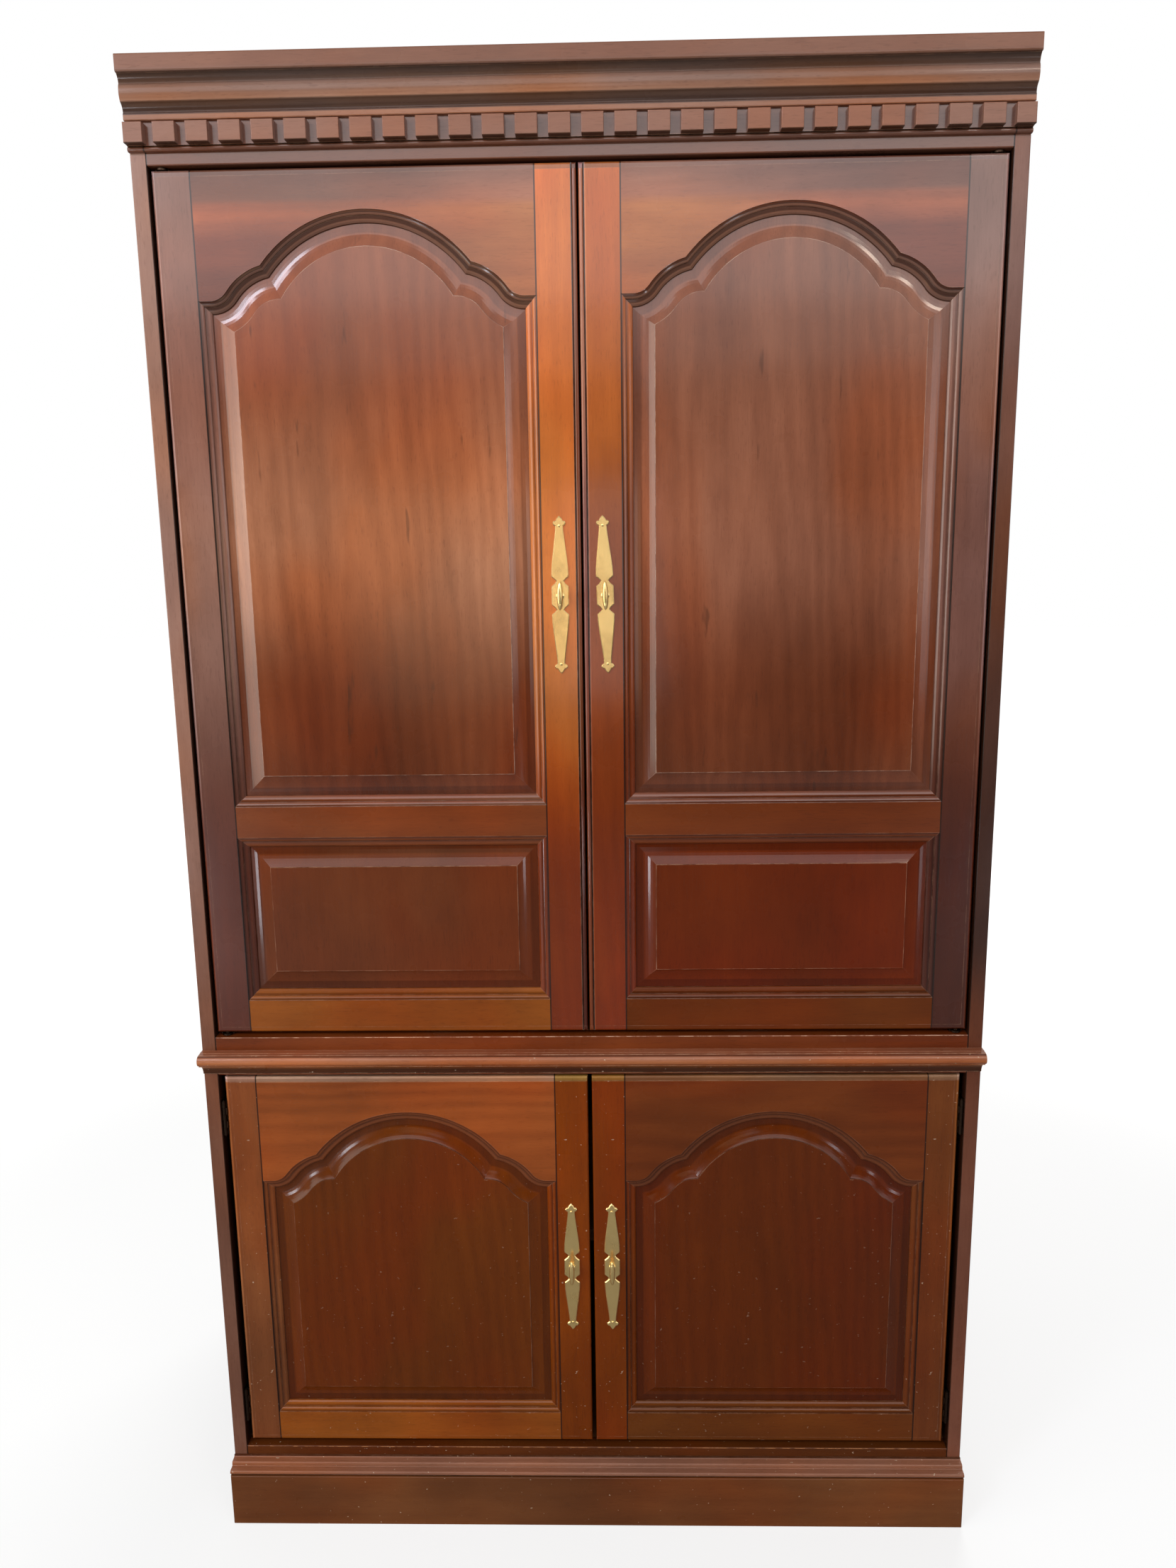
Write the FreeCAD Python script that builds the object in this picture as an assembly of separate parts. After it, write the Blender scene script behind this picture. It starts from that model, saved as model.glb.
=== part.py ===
import FreeCAD, Part
import math
import os

os.makedirs("parts", exist_ok=True)

# Tall television cabinet: a pair of doors over a pair of doors, stepped base,
# waist moulding, and a crown with a row of dentil blocks.
# Millimetres. +X is right seen from the front, the front looks along -Y, +Z is up.
# "f" is a distance in front of the case's face, and is negative behind it.

V = FreeCAD.Vector

# overall
CASE_W = 1100.0
CASE_D = 610.0
HEIGHT = 2035.0
CROWN_F = 27.0
PLINTH_F = 25.0
Y_FACE = CROWN_F - (CASE_D + CROWN_F) / 2.0
Y_BACK = Y_FACE + CASE_D

# case boards
SIDE_T = 20.0
RAIL_T = 22.0
DECK_T = 18.0
BACK_T = 6.0
BACK_LAP = 8.0
BACK_CLEAR = 0.5
PARTITION_T = 18.0
SHELF_T = 20.0
TOP_T = 20.4
EDGE_EASE = 1.5
X_OUT = CASE_W / 2.0
X_IN = X_OUT - SIDE_T

# levels
PLINTH_TOP = 82.0
BASE_RAIL_H = 94.0
LEDGE_Z = 114.0
WAIST_Z = 776.0
WAIST_RAIL_H = 57.0
WAIST_LOW = WAIST_Z - WAIST_RAIL_H
FRIEZE_H = 96.6
TOP_Z = HEIGHT - TOP_T
FRIEZE_LOW = TOP_Z - FRIEZE_H

# gaps round the doors
UP_GAP_LOW = 6.0
UP_GAP_HIGH = 4.0
UP_GAP_SIDE = 2.6
UP_X_MEET = 1.3
LO_GAP_ENDS = 6.0
LO_GAP_SIDE = 6.5
LO_X_MEET = 3.0

# doors
DOOR_T = 22.0
STICKING_W = 15.0
GROOVE_FRONT = 10.0
GROOVE_W = 6.0
GROOVE_DEPTH = 9.0
PANEL_GAP = 0.1
PANEL_TONGUE_GAP = 1.0
PANEL_SINK = 2.0
BEVEL_W = 27.5
EDGE_ROUND = 3.4
EDGE_STEP_W = 7.5
EDGE_STEP_H = 0.7
MEET_ROUND = 3.0
BEAD_R = 3.0
QUIRK_W = 1.2
UP_SETBACK = 4.0
LO_SETBACK = 6.0
UP_STILE_W = 48.0
UP_MEET_W = 51.7
LO_STILE_W = 44.5
LO_MEET_W = 47.0
UP_X_OUT = X_IN - UP_GAP_SIDE
LO_X_OUT = X_IN - LO_GAP_SIDE
UP_JOINT_OUT = UP_X_OUT - UP_STILE_W
UP_JOINT_MEET = UP_X_MEET + UP_MEET_W
LO_JOINT_OUT = LO_X_OUT - LO_STILE_W
LO_JOINT_MEET = LO_X_MEET + LO_MEET_W
UP_LOW = WAIST_Z + UP_GAP_LOW
UP_HIGH = FRIEZE_LOW - UP_GAP_HIGH
LO_LOW = LEDGE_Z + LO_GAP_ENDS
LO_HIGH = WAIST_LOW - LO_GAP_ENDS

# rails, measured on the flat of the frame outside the sticking
UP_RAIL_TOP_H = 153.6
UP_RAIL_MID_H = 43.1
UP_RAIL_LOW_H = 47.4
UP_SMALL_H = 235.7
LO_RAIL_TOP_H = 162.4
LO_RAIL_LOW_H = 48.0
UP_ARCH_FLAT = UP_HIGH - UP_RAIL_TOP_H
UP_SMALL_LOW = UP_LOW + UP_RAIL_LOW_H
UP_SMALL_HIGH = UP_SMALL_LOW + UP_SMALL_H
UP_ARCH_LOW = UP_SMALL_HIGH + UP_RAIL_MID_H
LO_ARCH_FLAT = LO_HIGH - LO_RAIL_TOP_H
LO_ARCH_LOW = LO_LOW + LO_RAIL_LOW_H

# arches: a shoulder of two arcs up to the cusp, then the main arc
SHOULDER_RUN = 65.5
SHOULDER_RISE = 41.4
SHOULDER_START_DEG = 54.0
SHOULDER_END_DEG = 15.0
UP_ARCH_RISE = 63.4
LO_ARCH_RISE = 66.0

# pocket door hardware
PIVOT_FROM_SIDE = 15.0
PIVOT_X = X_IN - PIVOT_FROM_SIDE
PIVOT_BACK = 7.0
PIVOT_R = 3.0
PIVOT_RUN = 0.08
PIVOT_DEPTH = 14.0
PIVOT_BOSS_R = 7.0
CARRIAGE_T = 18.0
CARRIAGE_BACK = 20.5
CARRIAGE_IN = 9.0
BRACKET_T = 2.4
BRACKET_LIFT = 1.0
SLIDE_T = 6.5
SLIDE_H = 24.0
SLIDE_WALL = 1.6
SLIDE_LIP = 3.0
SLIDE_INSET = 90.0
SLIDE_END = 20.0
POCKET_W = 42.0
PARTITION_F = -36.0
PARTITION_X = X_IN - POCKET_W - PARTITION_T

# butt hinges of the lower doors, with their knuckles in the side gap
HINGE_X = X_IN - LO_GAP_SIDE / 2.0
HINGE_F = -4.0
HINGE_L = 52.0
KNUCKLE_CLEAR = 0.85
KNUCKLE_R = LO_GAP_SIDE / 2.0 - KNUCKLE_CLEAR
KNUCKLES = 5
KNUCKLE_GAP = 0.3
HINGE_PIN_R = 1.3
HINGE_PIN_PROUD = 1.5
HINGE_RUN = 0.08
LEAF_T = 1.6
LEAF_W = 22.0
LEAF_CLEAR = 0.1
HINGE_INSET = 62.0

# shelves
UP_SHELF_UP = 299.0
LO_SHELF_UP = 306.0
SHELF_SETBACK = 60.0
SHELF_END_GAP = 1.0
SHELF_BACK_GAP = 2.0
UP_SHELF_Z = WAIST_Z + UP_SHELF_UP
LO_SHELF_Z = LEDGE_Z + LO_SHELF_UP
PIN_R = 2.5
PIN_HOLE_CLEAR = 0.05
PIN_L = 16.0
PIN_IN = 8.0
PIN_PITCH = 32.0
PIN_ROWS = 5
PIN_INSET = 60.0

# dentils and the board behind them
BACKER_UP = 14.6
BACKER_F = 6.5
BACKER_BEAD_H = 6.3
DENTIL_PITCH = 40.0
DENTIL_W = 27.0
DENTIL_H = 23.6
DENTIL_F = 17.5
DENTIL_GAP_LOW = 0.5
DENTIL_GAP_HIGH = 3.0
DENTIL_EASE = 0.8
BACKER_LOW = FRIEZE_LOW + BACKER_UP
DENTIL_LOW = BACKER_LOW + BACKER_BEAD_H + DENTIL_GAP_LOW
DENTIL_HIGH = DENTIL_LOW + DENTIL_H
BACKER_HIGH = DENTIL_HIGH + DENTIL_GAP_HIGH

# cable holes in the back
CABLE_R = 30.0
CABLE_X = 300.0
CABLE_OFF_MIDDLE = 150.0
CABLE_UP_LOW = 84.0
CABLE_OVER_SHELF = 105.0
CABLE_LO_DROP = 136.0

# pulls
PULL_X = 29.5
PULL_T = 2.4
PULL_CHAMFER = 1.1
UP_PULL_UP = 606.6
LO_PULL_DROP = 300.4
GRIP_H = 36.8
GRIP_R = 3.8
GRIP_STAND = 14.5
PULL_LEAN_DEG = 1.6


def box(x0, x1, y0, y1, z0, z1):
    """Box between two corners given in any order."""
    xs, ys, zs = sorted((x0, x1)), sorted((y0, y1)), sorted((z0, z1))
    return Part.makeBox(
        xs[1] - xs[0], ys[1] - ys[0], zs[1] - zs[0], V(xs[0], ys[0], zs[0]))


def y_at(f):
    """Y of a plane that stands f in front of the case's face."""
    return Y_FACE - f


def rod(x, y, z, r, length, axis):
    """Cylinder from a point along a direction."""
    return Part.makeCylinder(r, length, V(x, y, z), axis)


def moulding(steps, x0, x1):
    """Solid with the cross-section `steps` along X. A step is (f, z) or
    (f, z, f_mid, z_mid) for an arc that passes through its middle point."""
    edges = []
    last = V(x0, y_at(steps[0][0]), steps[0][1])
    first = last
    for step in steps[1:]:
        here = V(x0, y_at(step[0]), step[1])
        if len(step) == 4:
            mid = V(x0, y_at(step[2]), step[3])
            edges.append(Part.Arc(last, mid, here).toShape())
        else:
            edges.append(Part.LineSegment(last, here).toShape())
        last = here
    edges.append(Part.LineSegment(last, first).toShape())
    return outward(Part.Face(Part.Wire(edges)).extrude(V(x1 - x0, 0, 0)))


def plate_xz(points, y0, y1):
    """Flat-sided solid over a polygon of (x, z) points."""
    wire = Part.makePolygon([V(x, y0, z) for x, z in points + points[:1]])
    return outward(Part.Face(wire).extrude(V(0, y1 - y0, 0)))


def ease(shape, radius, test):
    """Round the edges whose middle point passes the test."""
    picked = [e for e in shape.Edges if test(e.CenterOfMass, e)]
    return shape.makeFillet(radius, picked)


def outward(solid):
    """The same solid with its faces turned outwards."""
    if solid.Volume < 0:
        solid.reverse()
    return solid


def near(a, b):
    return abs(a - b) < 0.01


def mirrored(shape):
    return shape.mirror(V(0, 0, 0), V(1, 0, 0))


def save(name, solids):
    """Write a node: one solid, or a group of separate solids."""
    if not isinstance(solids, list):
        solids = [solids]
    clean = []
    for item in solids:
        for solid in item.Solids:
            if not solid.isValid():
                solid.fix(0.001, 0.001, 0.001)
            assert solid.isValid(), name
            clean.append(solid)
    shape = clean[0] if len(clean) == 1 else Part.makeCompound(clean)
    shape.exportStep("parts/%s.step" % name)


def save_pair(name, shape):
    """Write a right-hand node and its mirror image."""
    save(name + "_right", shape)
    save(name + "_left", [mirrored(s) for s in shape] if isinstance(shape, list)
         else mirrored(shape))


# outlines of the door panels


def arch_spec(half_w, low, flat, rise):
    """Sizes of an arched outline, measured from the panel's middle line."""
    start = half_w - STICKING_W
    a = math.radians(SHOULDER_START_DEG)
    b = math.radians(SHOULDER_END_DEG)
    run = SHOULDER_RUN
    cusp_x = start - run
    m11, m12 = math.sin(a), math.sin(a) - math.sin(b)
    m21, m22 = 1 - math.cos(a), math.cos(b) - math.cos(a)
    det = m11 * m22 - m12 * m21
    r1 = (run * m22 - m12 * SHOULDER_RISE) / det
    r2 = (m11 * SHOULDER_RISE - m21 * run) / det
    cusp_z = flat + SHOULDER_RISE
    main_r = (cusp_x ** 2 + rise ** 2) / (2 * rise)
    c1 = (start, flat + r1)
    join = (start - r1 * math.sin(a), flat + r1 * (1 - math.cos(a)))
    c2 = (join[0] - r2 * math.sin(a), join[1] - r2 * math.cos(a))
    c0 = (0.0, cusp_z + rise - main_r)
    return dict(w=half_w, low=low, flat=flat, start=start, r1=r1, r2=r2, r0=main_r,
                c1=c1, c2=c2, c0=c0, a=a)


def circles_meet(ca, ra, cb, rb, near_to):
    """Crossing point of two circles that is nearer to a given point."""
    dx, dz = cb[0] - ca[0], cb[1] - ca[1]
    d = math.hypot(dx, dz)
    along = (ra ** 2 - rb ** 2 + d ** 2) / (2 * d)
    side = math.sqrt(max(ra ** 2 - along ** 2, 0.0))
    mx, mz = ca[0] + along * dx / d, ca[1] + along * dz / d
    found = [(mx + s * side * dz / d, mz - s * side * dx / d) for s in (1, -1)]
    return min(found, key=lambda p: math.hypot(p[0] - near_to[0], p[1] - near_to[1]))


def arc_middle(centre, p, q):
    """Point of the short arc from p to q that lies half-way."""
    r = math.hypot(p[0] - centre[0], p[1] - centre[1])
    mx, mz = (p[0] + q[0]) / 2 - centre[0], (p[1] + q[1]) / 2 - centre[1]
    k = r / math.hypot(mx, mz)
    return (centre[0] + mx * k, centre[1] + mz * k)


def arch_outline(spec, d):
    """Points and arcs of the arched outline moved inwards by d."""
    w, low, flat = spec["w"] - d, spec["low"] + d, spec["flat"] - d
    r1, r2, r0 = spec["r1"] + d, spec["r2"] - d, spec["r0"] - d
    c1, c2, c0, a = spec["c1"], spec["c2"], spec["c0"], spec["a"]
    join = (c1[0] - r1 * math.sin(a), c1[1] - r1 * math.cos(a))
    cusp = circles_meet(c2, r2, c0, r0, (spec["start"] - SHOULDER_RUN, flat + SHOULDER_RISE))
    peak = (0.0, c0[1] + r0)
    corner_z = flat
    if w <= spec["start"] + 0.001:
        corner_z = c1[1] - math.sqrt(r1 ** 2 - (c1[0] - w) ** 2)
    right = [((w, low), None), ((w, corner_z), None)]
    if w > spec["start"] + 0.001:
        right.append(((spec["start"], flat), None))
    right.append((join, arc_middle(c1, right[-1][0], join)))
    right.append((cusp, arc_middle(c2, join, cusp)))
    path = list(right)
    mirror_cusp = (-cusp[0], cusp[1])
    path.append((mirror_cusp, peak))
    for i in range(len(right) - 2, -1, -1):
        point = right[i][0]
        mid = right[i + 1][1]
        path.append(((-point[0], point[1]), (-mid[0], mid[1]) if mid else None))
    return path


def rect_outline(spec, d):
    w, low, high = spec["w"] - d, spec["low"] + d, spec["high"] - d
    corners = [(w, low), (w, high), (-w, high), (-w, low)]
    return [(p, None) for p in corners]


def outline_wire(path, x_mid, y):
    """Closed wire of an outline, placed at a panel's middle line and depth."""
    def at(p):
        return V(p[0] + x_mid, y, p[1])
    edges = []
    last = path[-1][0]
    for point, mid in path:
        if mid is None:
            edges.append(Part.LineSegment(at(last), at(point)).toShape())
        else:
            edges.append(Part.Arc(at(last), at(mid), at(point)).toShape())
        last = point
    return Part.Wire(edges)


def outline_at(spec, d):
    return arch_outline(spec, d) if "flat" in spec else rect_outline(spec, d)


def stepped_solid(spec, x_mid, y_front, profile):
    """Solid between outlines, each (distance inwards, depth behind the door's face)."""
    wires = [outline_wire(outline_at(spec, d), x_mid, y_front + h) for d, h in profile]
    return outward(Part.makeLoft(wires, True, True))


def prism(spec, x_mid, y_front, d, h0, h1):
    wire = outline_wire(outline_at(spec, d), x_mid, y_front + h0)
    return outward(Part.Face(wire).extrude(V(0, h1 - h0, 0)))


# shape of the sticking, from the flat of the frame in towards the panel
STICKING = [
    (0.0, -1.0), (0.0, 1.1), (0.35, 1.25), (2.4, 1.55), (4.2, 2.3), (5.5, 3.5), (5.9, 5.0),
    (6.3, 5.1), (9.4, 5.4), (12.0, 6.3), (13.9, 7.9), (14.6, 9.3), (14.9, 10.6),
]
STICKING_HOLE = 14.9

# shape of the raised panel's cove, from the small step at the field's arris out to the
# edge, where it levels out
COVE = [
    (0.0, 0.0), (0.15, 1.0), (2.2, 2.1), (4.8, 3.35), (7.8, 4.58), (11.2, 5.74),
    (15.0, 6.75), (19.0, 7.5), (23.0, 7.95), (27.1, 8.1),
]


def panel_hole(spec, x_mid, y_front):
    """What is cut from a door's frame for one panel: sticking, groove and back."""
    front = stepped_solid(spec, x_mid, y_front, STICKING)
    through = prism(spec, x_mid, y_front, STICKING_HOLE, 10.0, DOOR_T + 1.0)
    groove = prism(spec, x_mid, y_front, STICKING_W - GROOVE_DEPTH,
                   GROOVE_FRONT, GROOVE_FRONT + GROOVE_W)
    return [front, through, groove]


def raised_panel(spec, x_mid, y_front):
    """Raised panel whose edge sits in the frame's groove."""
    edge_in = STICKING_W - GROOVE_DEPTH + PANEL_TONGUE_GAP
    edge = prism(spec, x_mid, y_front, edge_in,
                 GROOVE_FRONT + PANEL_GAP, GROOVE_FRONT + GROOVE_W - PANEL_GAP)
    field = STICKING_W + BEVEL_W
    steps = [(field - d, PANEL_SINK + h) for d, h in COVE]
    steps.append((steps[-1][0] - 0.01, GROOVE_FRONT + 3.0))
    raised = stepped_solid(spec, x_mid, y_front, steps)
    return edge.fuse(raised).removeSplitter()


def mitred_hole(x_mid, spec):
    """Corners of one panel hole, on the joint line and on the sight line."""
    w, s = spec["w"], STICKING_W
    low = spec["low"]
    high = spec.get("flat", spec.get("high"))
    return dict(l=x_mid - w, r=x_mid + w, low=low, high=high, s=s)


def door(x_meet, x_out, joint_meet, joint_out, z_low, z_high, setback, holes, bead):
    """Right-hand door: stiles, rails and raised panels, by name."""
    y0 = y_at(-setback)
    x_mid = (joint_meet + joint_out) / 2.0
    slab = box(x_meet, x_out, y0, y0 + DOOR_T, z_low, z_high)

    # the outer edges stand back by a small step and are rounded in front of it
    slab = slab.cut(slab.cut(box(x_meet - 1, x_out - EDGE_STEP_W, y0 - 1, y0 + DOOR_T + 1,
                                 z_low + EDGE_STEP_W, z_high - EDGE_STEP_W)).common(
        box(x_meet - 1, x_out + 1, y0 - 1, y0 + EDGE_STEP_H, z_low - 1, z_high + 1)))

    def front_edge(point, edge):
        if not near(point.y, y0 + EDGE_STEP_H):
            return False
        return near(point.x, x_out) or near(point.z, z_low) or near(point.z, z_high)
    slab = ease(slab, EDGE_ROUND, front_edge)
    if bead:
        corner = box(x_meet - 1, x_meet + 2 * BEAD_R, y0 - 1, y0 + BEAD_R, z_low, z_high)
        round_bar = rod(x_meet + BEAD_R, y0 + BEAD_R, z_low, BEAD_R,
                        z_high - z_low, V(0, 0, 1))
        slab = slab.cut(corner.cut(round_bar))
        quirk_x = x_meet + 2 * BEAD_R
        slab = slab.cut(box(quirk_x - 0.1, quirk_x + QUIRK_W, y0 - 1, y0 + BEAD_R,
                            z_low, z_high))
    else:
        slab = ease(slab, MEET_ROUND, lambda p, e: near(p.y, y0) and near(p.x, x_meet)
                    and e.Length > EDGE_STEP_W)
    cuts = []
    for spec in holes:
        cuts += panel_hole(spec, x_mid, y0)
    frame = slab.cut(cuts)

    corners = [mitred_hole(x_mid, spec) for spec in holes]
    y1, y2 = y0 - 5.0, y0 + DOOR_T + 5.0
    far = 20.0
    pieces = {}
    inner = [(joint_meet, z_high + far), (x_meet - far, z_high + far),
             (x_meet - far, z_low - far), (joint_meet, z_low - far)]
    outer = [(joint_out, z_high + far), (x_out + far, z_high + far),
             (x_out + far, z_low - far), (joint_out, z_low - far)]
    for c in reversed(corners):
        s = c["s"]
        inner += [(c["l"], c["low"]), (c["l"] + s, c["low"] + s),
                  (c["l"] + s, c["high"] - s), (c["l"], c["high"])]
        outer += [(c["r"], c["low"]), (c["r"] - s, c["low"] + s),
                  (c["r"] - s, c["high"] - s), (c["r"], c["high"])]
    pieces["stile_meet"] = frame.common(plate_xz(inner, y1, y2))
    pieces["stile_outer"] = frame.common(plate_xz(outer, y1, y2))

    c = corners[0]
    s = c["s"]
    top = [(c["l"], z_high + far), (c["l"], c["high"]), (c["l"] + s, c["high"] - s),
           (c["r"] - s, c["high"] - s), (c["r"], c["high"]), (c["r"], z_high + far)]
    pieces["rail_top"] = frame.common(plate_xz(top, y1, y2))
    c = corners[-1]
    low = [(c["l"], z_low - far), (c["l"], c["low"]), (c["l"] + s, c["low"] + s),
           (c["r"] - s, c["low"] + s), (c["r"], c["low"]), (c["r"], z_low - far)]
    pieces["rail_low"] = frame.common(plate_xz(low, y1, y2))
    if len(corners) == 2:
        a, b = corners
        mid = [(a["l"], a["low"]), (a["l"] + s, a["low"] + s), (a["r"] - s, a["low"] + s),
               (a["r"], a["low"]), (b["r"], b["high"]), (b["r"] - s, b["high"] - s),
               (b["l"] + s, b["high"] - s), (b["l"], b["high"])]
        pieces["rail_mid"] = frame.common(plate_xz(mid, y1, y2))
    pieces["panel"] = raised_panel(holes[0], x_mid, y0)
    if len(holes) == 2:
        pieces["panel_small"] = raised_panel(holes[1], x_mid, y0)
    return pieces


# pulls

# half outline of a back plate, from its middle up to the tip
PLATE_HALF = [
    (11.2, 0.0), (11.2, 12.0), (6.6, 16.0), (5.0, 18.6), (6.8, 20.8), (11.0, 24.2),
    (11.2, 27.0), (10.8, 36.0), (9.6, 48.0), (7.8, 62.0), (6.2, 75.0), (5.2, 84.0),
    (5.0, 89.0), (7.6, 90.6), (8.6, 93.0), (7.2, 95.6), (4.7, 96.0), (3.0, 99.2),
]
PLATE_TIP = 102.4


def plate_points(shrink):
    """Closed outline of the back plate, shrunk all round by a mitred distance."""
    half = PLATE_HALF + [(0.0, PLATE_TIP)]
    pts = [p for p in half]
    pts += [(-x, z) for x, z in reversed(half[1:-1])]
    pts += [(-PLATE_HALF[0][0], 0.0)]
    pts += [(-x, -z) for x, z in half[1:]]
    pts += [(x, -z) for x, z in reversed(half[1:-1])]
    if shrink == 0:
        return pts
    out = []
    n = len(pts)
    for i in range(n):
        a, b, c = pts[i - 1], pts[i], pts[(i + 1) % n]
        ux, uz = b[0] - a[0], b[1] - a[1]
        vx, vz = c[0] - b[0], c[1] - b[1]
        ul, vl = math.hypot(ux, uz), math.hypot(vx, vz)
        n1 = (-uz / ul, ux / ul)
        n2 = (-vz / vl, vx / vl)
        k = 1 + n1[0] * n2[0] + n1[1] * n2[1]
        out.append((b[0] + shrink * (n1[0] + n2[0]) / k,
                    b[1] + shrink * (n1[1] + n2[1]) / k))
    return out


def pull(x, z, face_y, lean):
    """Back plate with bevelled edges and the oval grip on its stem."""
    def ring(shrink, y):
        pts = plate_points(shrink)
        return Part.makePolygon([V(px + x, y, pz + z) for px, pz in pts + pts[:1]])
    back = face_y
    edge = face_y - (PULL_T - PULL_CHAMFER)
    front = face_y - PULL_T
    plate = outward(Part.makeLoft(
        [ring(0, back), ring(0, edge), ring(PULL_CHAMFER, front)], True, True))
    grip_y = front - GRIP_STAND
    stretch = FreeCAD.Matrix()
    stretch.scale(GRIP_R, GRIP_R, GRIP_H / 2.0)
    grip = Part.makeSphere(1.0).transformGeometry(stretch)
    grip.translate(V(x, grip_y, z))
    stem_steps = [(0.0, 0.0), (5.4, 0.0), (5.4, 1.2), (3.4, 2.4), (2.6, 6.0), (2.9, 10.0),
                  (3.3, GRIP_STAND), (0.0, GRIP_STAND)]
    pts = [V(x + r, front - s, z) for r, s in stem_steps]
    stem = Part.Face(Part.makePolygon(pts + pts[:1])).revolve(
        V(x, front, z), V(0, 1, 0), 360)
    knob = outward(grip).fuse(outward(stem))
    if lean:
        for item in (plate, knob):
            item.rotate(V(x, face_y, z), V(0, 1, 0), lean)
    return plate, knob


# case


def pin_holes(x, inward, z_mid, y_front, y_back):
    """Rows of shelf pin holes, bored into a board whose face is at x."""
    cuts = []
    for y in (y_front + PIN_INSET, y_back - PIN_INSET):
        for i in range(PIN_ROWS):
            z = z_mid + (i - PIN_ROWS // 2) * PIN_PITCH
            cuts.append(rod(x, y, z, PIN_R + PIN_HOLE_CLEAR, PIN_IN + 0.5,
                            V(inward, 0, 0)))
    return cuts


Y_DECK = Y_FACE + RAIL_T
Y_BACK_IN = Y_BACK - BACK_T
LO_PIN_Z = LO_SHELF_Z - PIN_R
UP_PIN_Z = UP_SHELF_Z - PIN_R
Y_PART = y_at(PARTITION_F)
Y_SHELF = Y_FACE + SHELF_SETBACK

side = box(X_IN, X_OUT, Y_FACE, Y_BACK, 0, TOP_Z)
side = ease(side, EDGE_EASE, lambda p, e: near(p.y, Y_FACE) and near(e.Length, TOP_Z))
side = side.cut(box(X_IN - 1, X_IN + BACK_LAP, Y_BACK_IN, Y_BACK + 1, PLINTH_TOP, TOP_Z + 1))
side = side.cut(pin_holes(X_IN, 1, LO_PIN_Z, Y_SHELF, Y_BACK_IN))
hinge_zs = (LO_HIGH - HINGE_INSET, LO_LOW + HINGE_INSET)
HINGE_Y = y_at(HINGE_F)
for hz in hinge_zs:
    side = side.cut(box(X_IN - 1, HINGE_X + KNUCKLE_R + LEAF_T, HINGE_Y, HINGE_Y + LEAF_W,
                        hz - HINGE_L / 2, hz + HINGE_L / 2))
save_pair("side_panel", side)

base_rail = box(-X_IN, X_IN, Y_FACE, Y_FACE + RAIL_T, LEDGE_Z - BASE_RAIL_H, LEDGE_Z)
base_rail = ease(base_rail, EDGE_EASE, lambda p, e: near(p.y, Y_FACE) and near(p.z, LEDGE_Z))
save("base_rail", base_rail)

cap_steps = [
    (0, 0), (-3.5, 0), (-3.5, 3.3), (-0.8, 3.3), (0, 6.0, 0, 4.4), (-2.6, 8.6, -0.8, 7.9),
    (-9.8, 8.9), (-10.8, 10.0, -10.5, 9.2), (-11.2, 12.6), (-13.6, 15.0, -11.9, 14.3),
    (-20.8, 15.4), (-22.6, 18.0, -22.1, 16.2),
]
cap_profile = [(0, PLINTH_TOP)]
for step in cap_steps[1:]:
    shifted = [v + (PLINTH_F if i % 2 == 0 else PLINTH_TOP) for i, v in enumerate(step)]
    cap_profile.append(tuple(shifted))
cap_profile.append((0, cap_profile[-1][1]))
cap = moulding(cap_profile, -X_OUT, X_OUT)
save("base_cap", cap)

plinth = box(-X_OUT, X_OUT, y_at(PLINTH_F), Y_FACE, 0, PLINTH_TOP)
plinth = ease(plinth, EDGE_EASE, lambda p, e: near(p.y, y_at(PLINTH_F))
              and (near(p.z, PLINTH_TOP) or e.Length < 100))
save("plinth_front", plinth)
save("plinth_back", box(-X_IN, X_IN, Y_BACK - 18, Y_BACK, 0, PLINTH_TOP))

save("lower_deck", box(-X_IN, X_IN, Y_DECK, Y_BACK_IN, LEDGE_Z - DECK_T, LEDGE_Z))

waist_rail = box(-X_IN, X_IN, Y_FACE, Y_FACE + RAIL_T, WAIST_LOW, WAIST_Z)
waist_rail = ease(waist_rail, EDGE_EASE, lambda p, e: near(p.y, Y_FACE) and e.Length > 100)
save("waist_rail", waist_rail)

waist_steps = [
    (0, -54.0), (1.8, -54.0), (2.2, -52.0), (17.0, -37.2, 7.4, -41.8), (18.2, -37.0),
    (18.2, -34.8), (25.0, -27.4, 22.9, -32.8), (18.2, -20.0, 22.9, -22.0), (17.6, -20.8),
    (16.8, -19.8), (11.6, -19.8), (11.0, -19.4), (0, -19.4),
]
waist = moulding([tuple(v + (WAIST_Z if i % 2 else 0) for i, v in enumerate(step))
                  for step in waist_steps], -X_OUT, X_OUT)
save("waist_moulding", waist)

save("waist_deck", box(-X_IN, X_IN, Y_DECK, Y_BACK_IN, WAIST_Z - SHELF_T, WAIST_Z))

frieze = box(-X_IN, X_IN, Y_FACE, Y_FACE + RAIL_T, FRIEZE_LOW, TOP_Z)
frieze = ease(frieze, EDGE_EASE, lambda p, e: near(p.y, Y_FACE) and near(p.z, FRIEZE_LOW))
save("frieze_rail", frieze)

bead_top = BACKER_LOW + BACKER_BEAD_H
backer = moulding([
    (0, BACKER_LOW), (BACKER_F - 3.1, BACKER_LOW),
    (BACKER_F - 2.9, bead_top - 0.5, BACKER_F - 0.1, (BACKER_LOW + bead_top) / 2),
    (BACKER_F - 1.9, bead_top), (BACKER_F, bead_top), (BACKER_F, BACKER_HIGH),
    (0, BACKER_HIGH)], -X_OUT, X_OUT)
save("dentil_backer", backer)

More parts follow.
